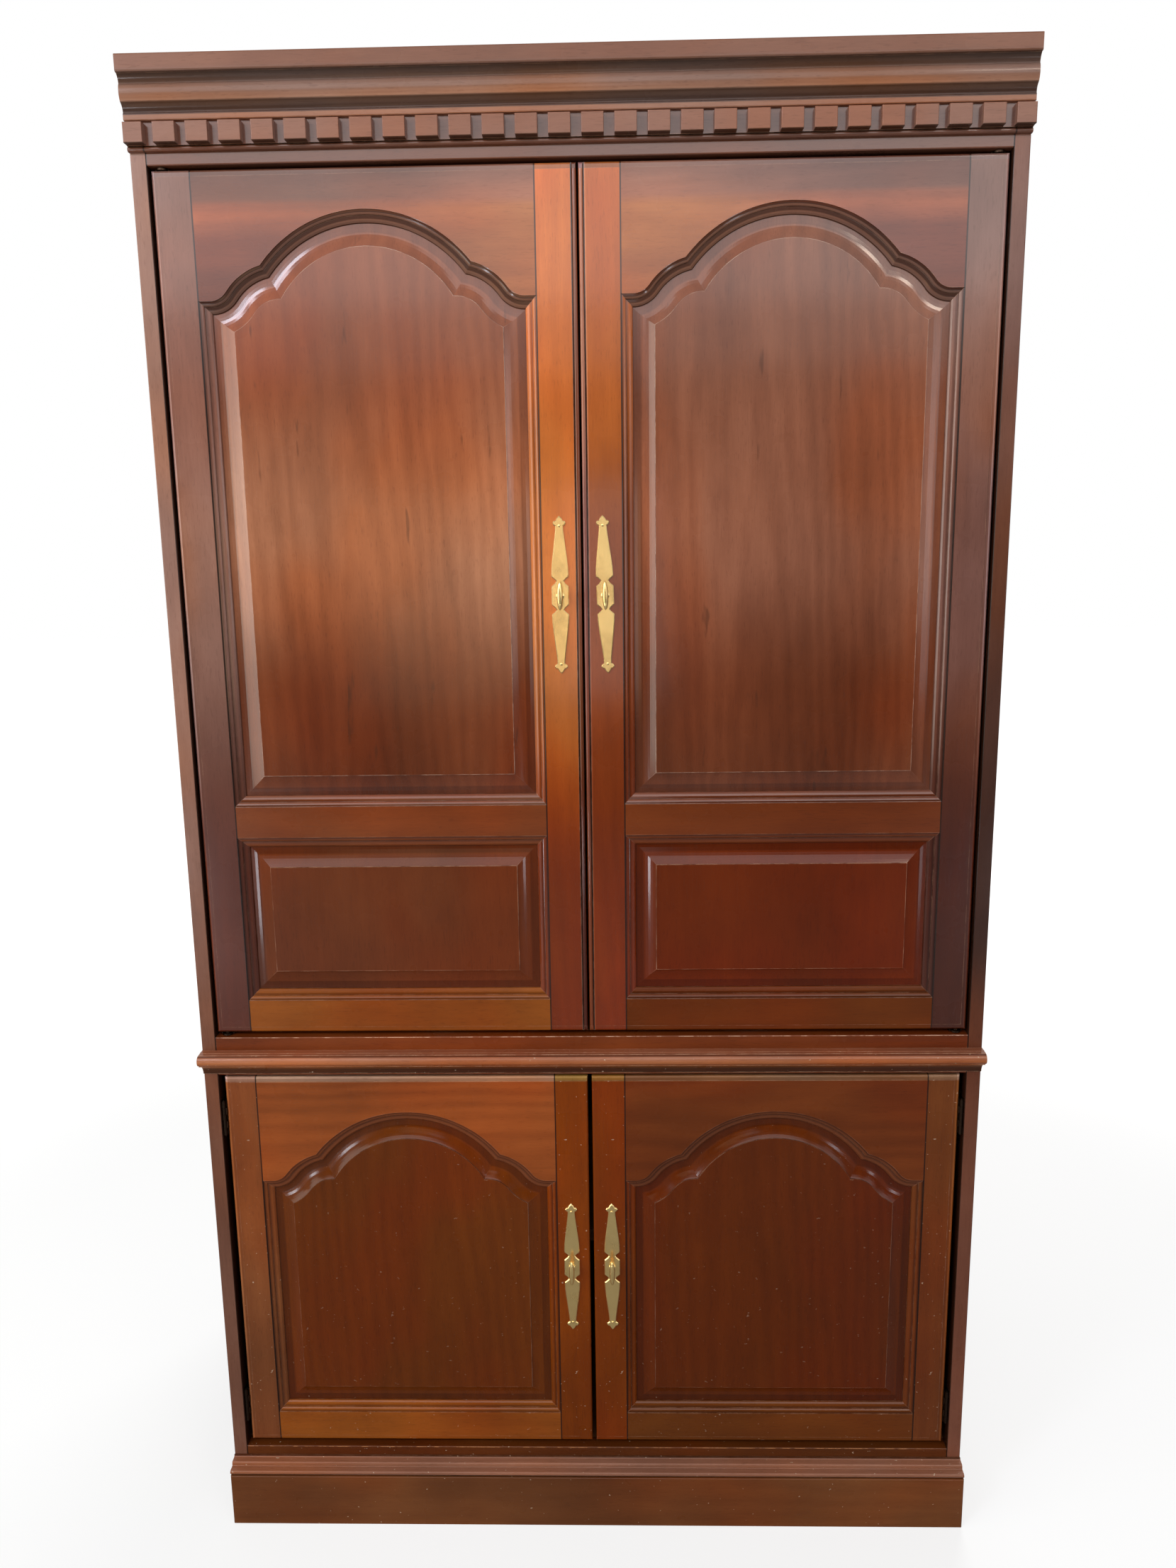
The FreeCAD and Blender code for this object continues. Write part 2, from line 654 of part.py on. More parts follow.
dentils = []
count = int(CASE_W / DENTIL_PITCH) // 2 + 1
for i in range(-count, count):
    mid = (i + 0.5) * DENTIL_PITCH
    x0 = max(mid - DENTIL_W / 2, -X_OUT)
    x1 = min(mid + DENTIL_W / 2, X_OUT)
    if x1 - x0 < 2:
        continue
    block = box(x0, x1, y_at(DENTIL_F), y_at(BACKER_F), DENTIL_LOW, DENTIL_HIGH)
    dentils.append(ease(block, DENTIL_EASE, lambda p, e: near(p.y, y_at(DENTIL_F))))
save("dentil_blocks", dentils)

z = BACKER_HIGH
crown_lean = CROWN_F - 3.8
crown = moulding([
    (0, z), (11.0, z), (11.6, z + 1.0), (11.6, z + 7.4), (10.6, z + 8.6),
    (16.6, z + 18.6, 12.2, z + 14.6), (17.4, z + 19.6), (18.6, z + 37.4, 20.0, z + 28.8),
    (17.8, z + 38.4), (crown_lean, TOP_Z, (17.8 + crown_lean) / 2 - 1.3, TOP_Z - 4.6),
    (0, TOP_Z)], -X_OUT, X_OUT)
save("crown_moulding", crown)

top = box(-X_OUT, X_OUT, y_at(CROWN_F), Y_BACK, TOP_Z, HEIGHT)
top = ease(top, 2.2, lambda p, e: near(p.y, y_at(CROWN_F)) and e.Length > 100)
save("top_board", top)


def back_board(z0, z1, holes):
    """Thin back board with round cable holes at (x, z)."""
    w = X_IN + BACK_LAP - BACK_CLEAR
    board = box(-w, w, Y_BACK_IN, Y_BACK, z0, z1)
    return board.cut([rod(x, Y_BACK_IN - 1, z, CABLE_R, BACK_T + 2, V(0, 1, 0))
                      for x, z in holes])


BACK_JOIN = WAIST_Z - SHELF_T / 2
save("lower_back", back_board(PLINTH_TOP + BACK_CLEAR, BACK_JOIN - BACK_CLEAR,
                              [(CABLE_OFF_MIDDLE, BACK_JOIN - CABLE_LO_DROP)]))
save("upper_back", back_board(BACK_JOIN + BACK_CLEAR, TOP_Z,
                              [(-CABLE_X, WAIST_Z + CABLE_UP_LOW),
                               (CABLE_X, WAIST_Z + CABLE_UP_LOW),
                               (CABLE_OFF_MIDDLE, UP_SHELF_Z + SHELF_T + CABLE_OVER_SHELF)]))

partition = box(PARTITION_X, PARTITION_X + PARTITION_T, Y_PART, Y_BACK_IN, WAIST_Z, TOP_Z)
partition = ease(partition, EDGE_EASE,
                 lambda p, e: near(p.y, Y_PART) and near(e.Length, TOP_Z - WAIST_Z))
partition = partition.cut(pin_holes(PARTITION_X, 1, UP_PIN_Z, Y_SHELF, Y_BACK_IN))
save_pair("pocket_partition", partition)


def shelf(half_w, z_low):
    """Loose shelf that rests on its pins at z_low."""
    board = box(-half_w, half_w, Y_SHELF, Y_BACK_IN - SHELF_BACK_GAP, z_low, z_low + SHELF_T)
    return ease(board, EDGE_EASE, lambda p, e: near(p.y, Y_SHELF) and e.Length > 100)


save("lower_shelf", shelf(X_IN - SHELF_END_GAP, LO_SHELF_Z))
save("upper_shelf", shelf(PARTITION_X - SHELF_END_GAP, UP_SHELF_Z))

pins = []
for x_face, z in ((X_IN, LO_PIN_Z), (PARTITION_X, UP_PIN_Z)):
    for y in (Y_SHELF + PIN_INSET, Y_BACK_IN - PIN_INSET):
        pin = rod(x_face - (PIN_L - PIN_IN), y, z, PIN_R, PIN_L, V(1, 0, 0))
        pins += [pin, mirrored(pin)]
save("shelf_pins", pins)


# pocket hardware
UP_Y = y_at(-UP_SETBACK)
PIVOT_Y = UP_Y + PIVOT_BACK
strip_y = PIVOT_Y + CARRIAGE_BACK
arm_low = WAIST_Z + BRACKET_LIFT
arm_high = FRIEZE_LOW - BRACKET_LIFT + 0.2
x_a, x_b = PIVOT_X - CARRIAGE_IN, X_IN - SLIDE_T
carriage = box(x_a, x_b, strip_y, strip_y + CARRIAGE_T, arm_low, arm_high)
for z0, z1, pin_z in ((arm_low, arm_low + BRACKET_T, arm_low + BRACKET_T - 0.1),
                      (arm_high - BRACKET_T, arm_high, UP_HIGH - PIVOT_DEPTH)):
    arm = box(x_a, x_b, PIVOT_Y, strip_y + 1, z0, z1)
    arm = arm.fuse(rod(PIVOT_X, PIVOT_Y, z0, PIVOT_BOSS_R, z1 - z0, V(0, 0, 1)))
    reach = z0 + 0.1 - pin_z if z0 > pin_z else UP_LOW + PIVOT_DEPTH - pin_z
    pin = rod(PIVOT_X, PIVOT_Y, pin_z, PIVOT_R, reach, V(0, 0, 1))
    carriage = carriage.fuse([arm, pin])
save_pair("door_carriage", carriage.removeSplitter())

slides = []
slide_y0 = strip_y
slide_y1 = Y_BACK_IN - SLIDE_END
for z in (WAIST_Z + SLIDE_INSET, FRIEZE_LOW - SLIDE_INSET):
    rail = box(X_IN - SLIDE_T, X_IN, slide_y0, slide_y1, z - SLIDE_H / 2, z + SLIDE_H / 2)
    rail = rail.cut(box(X_IN - SLIDE_T - 1, X_IN - SLIDE_WALL, slide_y0 - 1, slide_y1 + 1,
                        z - SLIDE_H / 2 + SLIDE_LIP, z + SLIDE_H / 2 - SLIDE_LIP))
    slides += [rail, mirrored(rail)]
save("pocket_slides", slides)


# lower hinges: three knuckles and the pin on the case, two knuckles on the door
def knuckle_spans(z_mid, first):
    step = HINGE_L / KNUCKLES
    low = z_mid - HINGE_L / 2
    return [(low + i * step, low + (i + 1) * step) for i in range(first, KNUCKLES, 2)]


def leaf(x0, x1, z_mid, first):
    """Hinge leaf with every second knuckle, starting from the first given."""
    half = HINGE_L / 2
    plate = box(x0, x1, HINGE_Y, HINGE_Y + LEAF_W, z_mid - half, z_mid + half)
    reach = KNUCKLE_R + 2 * KNUCKLE_GAP
    gap = KNUCKLE_GAP / 2
    spans = knuckle_spans(z_mid, first)
    for a, b in knuckle_spans(z_mid, 1 - first):
        plate = plate.cut(box(HINGE_X - 10, HINGE_X + 10, HINGE_Y - 5, HINGE_Y + reach,
                              a - gap, b + gap))
    for a, b in spans:
        low_gap = 0 if near(a, z_mid - half) else gap
        high_gap = 0 if near(b, z_mid + half) else gap
        plate = plate.fuse(rod(HINGE_X, HINGE_Y, a + low_gap, KNUCKLE_R,
                               b - a - low_gap - high_gap, V(0, 0, 1)))
    return plate.removeSplitter()


frame_leaves = []
door_leaves = []
for hz in hinge_zs:
    outer_face = HINGE_X + KNUCKLE_R
    plate = leaf(outer_face - 0.4, outer_face + LEAF_T - LEAF_CLEAR, hz, 0)
    pin = rod(HINGE_X, HINGE_Y, hz - HINGE_L / 2 - HINGE_PIN_PROUD, HINGE_PIN_R,
              HINGE_L + 2 * HINGE_PIN_PROUD, V(0, 0, 1))
    frame_leaves.append(plate.fuse(pin).removeSplitter())
    inner_face = HINGE_X - KNUCKLE_R
    plate = leaf(inner_face - LEAF_T + LEAF_CLEAR, inner_face + 0.4, hz, 1)
    bore = rod(HINGE_X, HINGE_Y, hz - HINGE_L, HINGE_PIN_R + HINGE_RUN, 2 * HINGE_L,
               V(0, 0, 1))
    door_leaves.append(plate.cut(bore))
save("hinge_leaves_frame", frame_leaves + [mirrored(s) for s in frame_leaves])
save_pair("hinge_leaves_door", door_leaves)


# upper doors
up_w = (UP_JOINT_OUT - UP_JOINT_MEET) / 2.0
up_holes = [arch_spec(up_w, UP_ARCH_LOW, UP_ARCH_FLAT, UP_ARCH_RISE),
            dict(w=up_w, low=UP_SMALL_LOW, high=UP_SMALL_HIGH)]
upper = door(UP_X_MEET, UP_X_OUT, UP_JOINT_MEET, UP_JOINT_OUT, UP_LOW, UP_HIGH,
             UP_SETBACK, up_holes, True)
for z0 in (UP_LOW - 1, UP_HIGH - PIVOT_DEPTH - 1):
    upper["stile_outer"] = upper["stile_outer"].cut(
        rod(PIVOT_X, PIVOT_Y, z0, PIVOT_R + PIVOT_RUN, PIVOT_DEPTH + 2, V(0, 0, 1)))
for part_name, shape in upper.items():
    save_pair("upper_%s" % part_name, shape)

# lower doors
lo_w = (LO_JOINT_OUT - LO_JOINT_MEET) / 2.0
lo_holes = [arch_spec(lo_w, LO_ARCH_LOW, LO_ARCH_FLAT, LO_ARCH_RISE)]
lower = door(LO_X_MEET, LO_X_OUT, LO_JOINT_MEET, LO_JOINT_OUT, LO_LOW, LO_HIGH,
             LO_SETBACK, lo_holes, False)
for hz in hinge_zs:
    lower["stile_outer"] = lower["stile_outer"].cut(
        box(HINGE_X - KNUCKLE_R - LEAF_T, LO_X_OUT + 1, HINGE_Y - 5, HINGE_Y + LEAF_W,
            hz - HINGE_L / 2, hz + HINGE_L / 2))
for part_name, shape in lower.items():
    save_pair("lower_%s" % part_name, shape)

# pulls
for level, z, setback, lean in (("upper", UP_LOW + UP_PULL_UP, UP_SETBACK, PULL_LEAN_DEG),
                                ("lower", LO_HIGH - LO_PULL_DROP, LO_SETBACK, 0.0)):
    face_y = y_at(-setback)
    for hand, x, turn in (("right", PULL_X, lean), ("left", -PULL_X, 0.0)):
        plate, knob = pull(x, z, face_y, -turn)
        save("%s_plate_%s" % (level, hand), plate)
        save("%s_grip_%s" % (level, hand), knob)
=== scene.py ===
"""Studio scene of a tall cherry television armoire.

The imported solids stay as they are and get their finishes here. The small hardware that
the solids leave out is modelled on top of them. Lengths are metres in the frame of the
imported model: +X to the right seen from the front, -Y towards the viewer, +Z up.
"""

import logging
import math
from collections.abc import Callable, Iterable
from dataclasses import dataclass, replace
from enum import Enum
from typing import Any

import bmesh
import bpy
from mathutils import Matrix, Vector


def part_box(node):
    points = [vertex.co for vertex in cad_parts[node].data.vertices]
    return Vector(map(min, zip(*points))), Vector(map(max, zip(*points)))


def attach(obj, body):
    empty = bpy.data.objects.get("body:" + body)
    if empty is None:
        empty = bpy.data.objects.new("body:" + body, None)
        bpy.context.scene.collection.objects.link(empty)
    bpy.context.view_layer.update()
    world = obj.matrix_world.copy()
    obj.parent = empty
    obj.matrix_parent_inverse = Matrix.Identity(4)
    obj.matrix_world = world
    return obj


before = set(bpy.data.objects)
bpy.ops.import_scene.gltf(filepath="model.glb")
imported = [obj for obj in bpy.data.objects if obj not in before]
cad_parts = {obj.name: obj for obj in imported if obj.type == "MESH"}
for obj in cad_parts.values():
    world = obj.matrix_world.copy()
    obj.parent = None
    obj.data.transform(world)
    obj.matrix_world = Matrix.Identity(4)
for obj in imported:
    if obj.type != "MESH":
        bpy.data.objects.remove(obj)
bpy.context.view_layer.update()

Colour = tuple[float, float, float]
Point = tuple[float, float, float]
Box = tuple[Vector, Vector]
Tones = tuple[tuple[float, Colour], ...]
Value = Any
Material = bpy.types.Material
Node = bpy.types.Node
Piece = bpy.types.Object
Socket = bpy.types.NodeSocket

LOG = logging.getLogger("armoire")
ORIGIN: Point = (0, 0, 0)
SAME: Point = (1, 1, 1)


class Grain(Enum):
    """Which way a board's grain runs, as the turn that brings it to local Z."""

    UPRIGHT = (0.0, 0.0, 0.0)
    ACROSS = (0.0, math.pi / 2, 0.0)


class Named(Enum):
    """A choice whose word is in the names of nodes."""

    @property
    def word(self) -> str:
        """Its name in small letters."""
        return self.name.lower()


class Hand(Named):
    """Side of the cabinet, seen from the front."""

    LEFT = -1
    RIGHT = 1


class Level(Named):
    """Upper and lower doors, with the node of the deck behind them."""

    UPPER = "waist_deck"
    LOWER = "lower_deck"


class Facing(Enum):
    """Which way a small piece faces, as the turn of one modelled towards -Y."""

    FRONT = Matrix.Identity(4)
    BACK = Matrix.Rotation(math.pi, 4, "Z")
    RIGHT = Matrix.Rotation(math.pi / 2, 4, "Z")
    LEFT = Matrix.Rotation(-math.pi / 2, 4, "Z")
    UP = Matrix.Rotation(-math.pi / 2, 4, "X")

    def at(self, x: float, y: float, z: float) -> Matrix:
        """Place of a piece that faces this way."""
        return Matrix.Translation((x, y, z)) @ self.value


# node trees


@dataclass(frozen=True)
class Pattern:
    """Cloudy noise: patches to the metre, octaves and the share of each finer one.

    Where only its peaks show, `steps` are the values where they start and are whole, and
    if needed the results there.
    """

    scale: float
    detail: float = 3.0
    rough: float = 0.55
    stretch: Point = SAME
    shift: Point = ORIGIN
    steps: tuple[float, ...] = ()


class NodeSheet:
    """A node tree, with short calls that add nodes and join them."""

    def __init__(self, tree: bpy.types.NodeTree) -> None:
        """Start from an empty tree."""
        self.tree = tree
        tree.nodes.clear()

    def feed(self, socket: Socket, value: Value) -> None:
        """Give a socket a number or colour, or join another socket to it.

        Args:
            socket: The socket.
            value: What goes into it.
        """
        if isinstance(value, Socket):
            self.tree.links.new(value, socket)
        elif isinstance(value, (tuple, list)) and socket.type == "RGBA":
            socket.default_value = (*value, 1.0)
        else:
            socket.default_value = value

    def add(self, kind: str, feeds: dict[str | int, Value] | None = None,
            **settings: Value) -> Node:
        """Add a node.

        Args:
            kind: The node's type, without the words that every type starts with.
            feeds: What goes into its sockets, by their name or number.
            **settings: Its properties.

        Returns:
            The node.
        """
        node = self.tree.nodes.new("ShaderNode" + kind)
        for key, value in settings.items():
            setattr(node, key, value)
        for key, value in (feeds or {}).items():
            self.feed(node.inputs[key], value)
        return node

    def math(self, operation: str, a: Value, b: Value = 0.0,
             clamp: bool = False) -> Socket:
        """Arithmetic on one or two values, kept between 0 and 1 where clamped."""
        return self.add("Math", {0: a, 1: b}, operation=operation,
                        use_clamp=clamp).outputs[0]


class FinishSheet(NodeSheet):
    """One finish's node tree, which reads a point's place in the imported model."""

    def __init__(self, name: str) -> None:
        """Start the tree of a new material.

        Args:
            name: Name of the material.
        """
        self.material = bpy.data.materials.new(name)
        self.material.use_nodes = True
        super().__init__(self.material.node_tree)
        self.place = self.add("TexCoord").outputs["Object"]

    def along(self, axis: str) -> Socket:
        """One coordinate of the point at rest."""
        return self.add("SeparateXYZ", {0: self.place}).outputs[axis]

    def off_middle(self) -> Socket:
        """Distance to the cabinet's middle plane."""
        return self.math("ABSOLUTE", self.along("X"))

    def times(self, a: Value, b: Value) -> Socket:
        """Product of two values."""
        return self.math("MULTIPLY", a, b)

    def plus(self, total: Value, *values: Value, clamp: bool = False) -> Socket:
        """Sum of two or more values.

        Args:
            total: The first value.
            *values: The others.
            clamp: Keep the sum between 0 and 1.

        Returns:
            The sum.
        """
        for i, value in enumerate(values, 1):
            total = self.math("ADD", total, value, clamp and i == len(values))
        return total

    def gap(self, a: Value, b: Value) -> Socket:
        """Distance between two values."""
        return self.math("ABSOLUTE", self.math("SUBTRACT", a, b))

    def swing(self, value: Value, amount: float) -> Socket:
        """A 0 to 1 value turned into one that swings by an amount round nothing."""
        return self.times(self.math("SUBTRACT", value, 0.5), 2.0 * amount)

    def span(self, value: Value, low: float, high: float, to_low: float = 0.0,
             to_high: float = 1.0) -> Socket:
        """Smooth step of a value.

        Args:
            value: What is read.
            low: Where the step starts.
            high: Where it ends.
            to_low: Result at the start.
            to_high: Result at the end.

        Returns:
            The step.
        """
        feeds = {"Value": value, "From Min": low, "From Max": high, "To Min": to_low,
                 "To Max": to_high}
        return self.add("MapRange", feeds, interpolation_type="SMOOTHSTEP").outputs[0]

    def between(self, value: Value, low: float, high: float,
                rim: float = 0.0001) -> Socket:
        """1 where a value lies between two limits, with a narrow soft rim."""
        return self.times(self.span(value, low - rim, low + rim),
                          self.span(value, high + rim, high - rim))

    def within(self, outline: Box, margin: float, rim: float = 0.001) -> Socket:
        """1 well inside a door's outline, and 0 along its edge.

        Args:
            outline: Lowest and highest corner of the door.
            margin: Width of the edge.
            rim: Half the width of the step between them.

        Returns:
            The mask.
        """
        mask: Value = 1.0
        for axis in "xz":
            low, high = (getattr(corner, axis) for corner in outline)
            half = (high - low) / 2 - margin
            off = self.gap(self.along(axis.upper()), (low + high) / 2)
            mask = self.times(mask, self.span(off, half + rim, half - rim))
        return mask

    def turned(self, vector: Value, move: Point = ORIGIN, turn: Point = ORIGIN,
               stretch: Point = SAME) -> Socket:
        """Coordinates that are stretched, turned and moved, in that order."""
        return self.add("Mapping", {"Vector": vector, "Location": move, "Rotation": turn,
                                    "Scale": stretch}).outputs[0]

    def noise(self, vector: Value, pattern: Pattern) -> Socket:
        """Cloudy noise from 0 to 1.

        Args:
            vector: Its coordinates.
            pattern: What it is like.

        Returns:
            The noise.
        """
        if (pattern.stretch, pattern.shift) != (SAME, ORIGIN):
            vector = self.turned(vector, pattern.shift, stretch=pattern.stretch)
        feeds = {"Vector": vector, "Scale": pattern.scale, "Detail": pattern.detail,
                 "Roughness": pattern.rough}
        cloud = self.add("TexNoise", feeds).outputs["Fac"]
        return self.span(cloud, *pattern.steps) if pattern.steps else cloud

    def mix(self, a: Value, b: Value, share: Value, blend: str = "MIX") -> Socket:
        """Blend two colours.

        Args:
            a: First colour.
            b: Second colour.
            share: Share of the second.
            blend: Blend type.

        Returns:
            The colour.
        """
        first, second, result = 6, 7, 2  # this node's colour sockets
        return self.add("Mix", {"Factor": share, first: a, second: b}, data_type="RGBA",
                        blend_type=blend).outputs[result]

    def over(self, colour: Value, stain: Value, share: Value = 1.0) -> Socket:
        """A colour seen through a share of a stain on top of it."""
        return self.mix(colour, stain, share, "MULTIPLY")

    def ramp(self, value: Value, stops: Iterable[tuple[float, Colour]],
             blend: str = "LINEAR") -> Socket:
        """Colours along a value.

        Args:
            value: What is read, from 0 to 1.
            stops: Places and colours, in rising order.
            blend: How the colours go over into each other.

        Returns:
            The colour.
        """
        node = self.add("ValToRGB", {"Fac": value})
        node.color_ramp.interpolation = blend
        colours = node.color_ramp.elements
        for i, (place, colour) in enumerate(stops):
            stop = colours[i] if i < 2 else colours.new(place)
            stop.position = place
            stop.color = (*colour, 1.0)
        return node.outputs["Color"]

    def edges(self, reach: float) -> Socket:
        """How near an outer edge is.

        Args:
            reach: How far from the edge it is felt.

        Returns:
            0 on the flat to 1 on the edge.
        """
        nearly_flat, well_bent = 0.99, 0.82
        soft = self.add("Bevel", {"Radius": reach}, samples=4).outputs["Normal"]
        flat = self.add("NewGeometry").outputs["Normal"]
        dot = self.add("VectorMath", {0: soft, 1: flat}, operation="DOT_PRODUCT")
        return self.span(dot.outputs["Value"], nearly_flat, well_bent)

    def hollows(self, reach: float) -> Socket:
        """How deep in a hollow a point lies.

        Args:
            reach: How far away a wall still counts.

        Returns:
            0 in the open to 1 in a hollow.
        """
        open_from, closed_from = 0.85, 0.25
        node = self.add("AmbientOcclusion", {"Distance": reach}, samples=6,
                        only_local=True)
        return self.span(node.outputs["AO"], open_from, closed_from)

    def relief(self, value: Value, depth: float, strength: float) -> Socket:
        """The normal bent by a height from 0 to 1, of a real depth, by a share."""
        return self.add("Bump", {"Strength": strength, "Distance": depth,
                                 "Height": value}).outputs["Normal"]

    def close(self, colour: Value, rough: Value, normal: Value,
              **constants: float) -> Material:
        """Add the shader and the output.

        Args:
            colour: Base colour.
            rough: Roughness.
            normal: Bent normal.
            **constants: Sockets that are the same all over, spaces as underscores.

        Returns:
            The finished material.
        """
        feeds = {"Base Color": colour, "Roughness": rough, "Normal": normal}
        feeds |= {key.replace("_", " "): number for key, number in constants.items()}
        shader = self.add("BsdfPrincipled", feeds)
        self.add("OutputMaterial", {"Surface": shader.outputs["BSDF"]})
        return self.material


# finishes

# noise in the wood, where local Z runs along the grain
FIBRE = Pattern(330.0, 5.0, 0.8, (1, 1, 0.06))
PORES = Pattern(620.0, 1.0, stretch=(1, 1, 0.12), steps=(0.60, 0.70))
CLOUD = Pattern(5.5)
MOTTLE = Pattern(42.0, 5.0, 0.6, (1, 1, 0.45))
TINT = Pattern(6.0, 2.0, 0.5, (1, 1, 0.6), (7.3, 2.1, 4.7))
BANDS = Pattern(34.0, 3.0, 0.5, (1, 1, 0.05))
STREAKS = Pattern(60.0, 3.0, 0.6, (1, 1, 0.16), (3.1, 0.0, 9.2), (0.66, 0.74))
# noise on a board's surface
WORN_PATCHES = Pattern(48.0, 4.0, 0.65, steps=(0.38, 0.62, 0.15, 1.0))
WORN_LINES = Pattern(60.0, 4.0, 0.7, steps=(0.44, 0.60, 0.05, 0.62))
SPECKS = Pattern(230.0, 2.0, stretch=(0.7, 1, 1), steps=(0.725, 0.75))
SMEARS = Pattern(7.0, 4.0, 0.6)
DENTS = Pattern(110.0, 2.0)
# what noise does to the stain, from its lowest value to its highest
SHADES = ((0.0, (0.36, 0.30, 0.27)), (0.5, (1.0, 1.0, 1.0)), (1.0, (1.75, 1.95, 2.05)))
WARMTH = ((0.34, (1.10, 0.86, 0.62)), (0.52, (1.0, 1.0, 1.0)), (0.68, (0.95, 1.01, 1.08)))
# colours of what lies in and on the wood, of the glazing and painted shade in its
# hollows, and of the glazing and painted shade that profiles and coves are seen through
HOLLOW_GLAZE_AND_SHADE = (0.010, 0.004, 0.002)
SEAM_DARK = (0.012, 0.004, 0.002)
STREAK_DARK = (0.045, 0.016, 0.008)
SCUFF_PALE = (0.55, 0.40, 0.28)
QUIRK_GLAZE_AND_SHADE = (0.26, 0.20, 0.18)
COVE_GLAZE_AND_SHADE = (0.30, 0.33, 0.34)


@dataclass(frozen=True)
class Cherry:
    """Stained and lacquered cherry, mottled, with fine fibres, pores and faint arches.

    `tones` are the stain's colours at heights above the floor, from the lowest; on many
    boards they also hold a painted sheen, paler and hazier higher up, and on mouldings
    painted light and shade. `flank` takes their place behind a board's front edge, and
    `inner` near the middle plane, where it paints a sheen. `glaze_and_shade` lists the dark
    glazing and painted shade in a door's profiles, each as the depths behind the board's
    front between which it lies and its share. `coves` does so for mouldings, each as its
    lowest and highest edge, how soft the lower one is and its share. `strips` paint light
    and shade by changing the colour between two distances from the middle plane ("X") or
    two heights ("Z"). `lines` are the heights between which a worn line runs, `seams` the
    distances from the middle plane where boards meet, and `sticking_sheen` is the colour
    painted into a door's profiles, which stands in for their sheen in shade.
    """

    tones: Tones
    cloud: float = 0.22
    cloud_run: float = 0.75
    mottle: float = 0.05
    band: float = 0.025
    figure: float = 0.03
    fibre: float = 0.13
    streaks: float = 0.0
    glaze_and_shade: tuple[tuple[float, float, float], ...] = ()
    worn: float = 0.55
    worn_reach: float = 0.0013
    worn_colour: Colour = (0.50, 0.27, 0.17)
    scuffs: float = 0.0
    satin: float = 0.28
    specular: float = 0.12
    lacquer: float = 0.85
    seams: tuple[float, ...] = ()
    coves: tuple[tuple[float, float, float, float], ...] = ()
    flank: Tones = ()
    inner: Tones = ()
    strips: tuple[tuple[str, float, float, Colour], ...] = ()
    lines: tuple[tuple[float, float], ...] = ()
    sticking_sheen: Colour | None = None

    def toned(self, by: Colour) -> "Cherry":
        """The same finish in a stain that took a little more or less colour."""
        return replace(self, tones=tuple((z, tuple(a * b for a, b in zip(colour, by)))
                                         for z, colour in self.tones))

    def pair(self, left: Colour, right: Colour) -> tuple["Cherry", "Cherry"]:
        """The finish as the left and as the right door's board took it."""
        return self.toned(left), self.toned(right)


@dataclass(frozen=True)
class Board:
    """A cherry board: its node, its grain, its number and its door's outline."""

    node: str
    grain: Grain
    number: int
    outline: Box | None = None


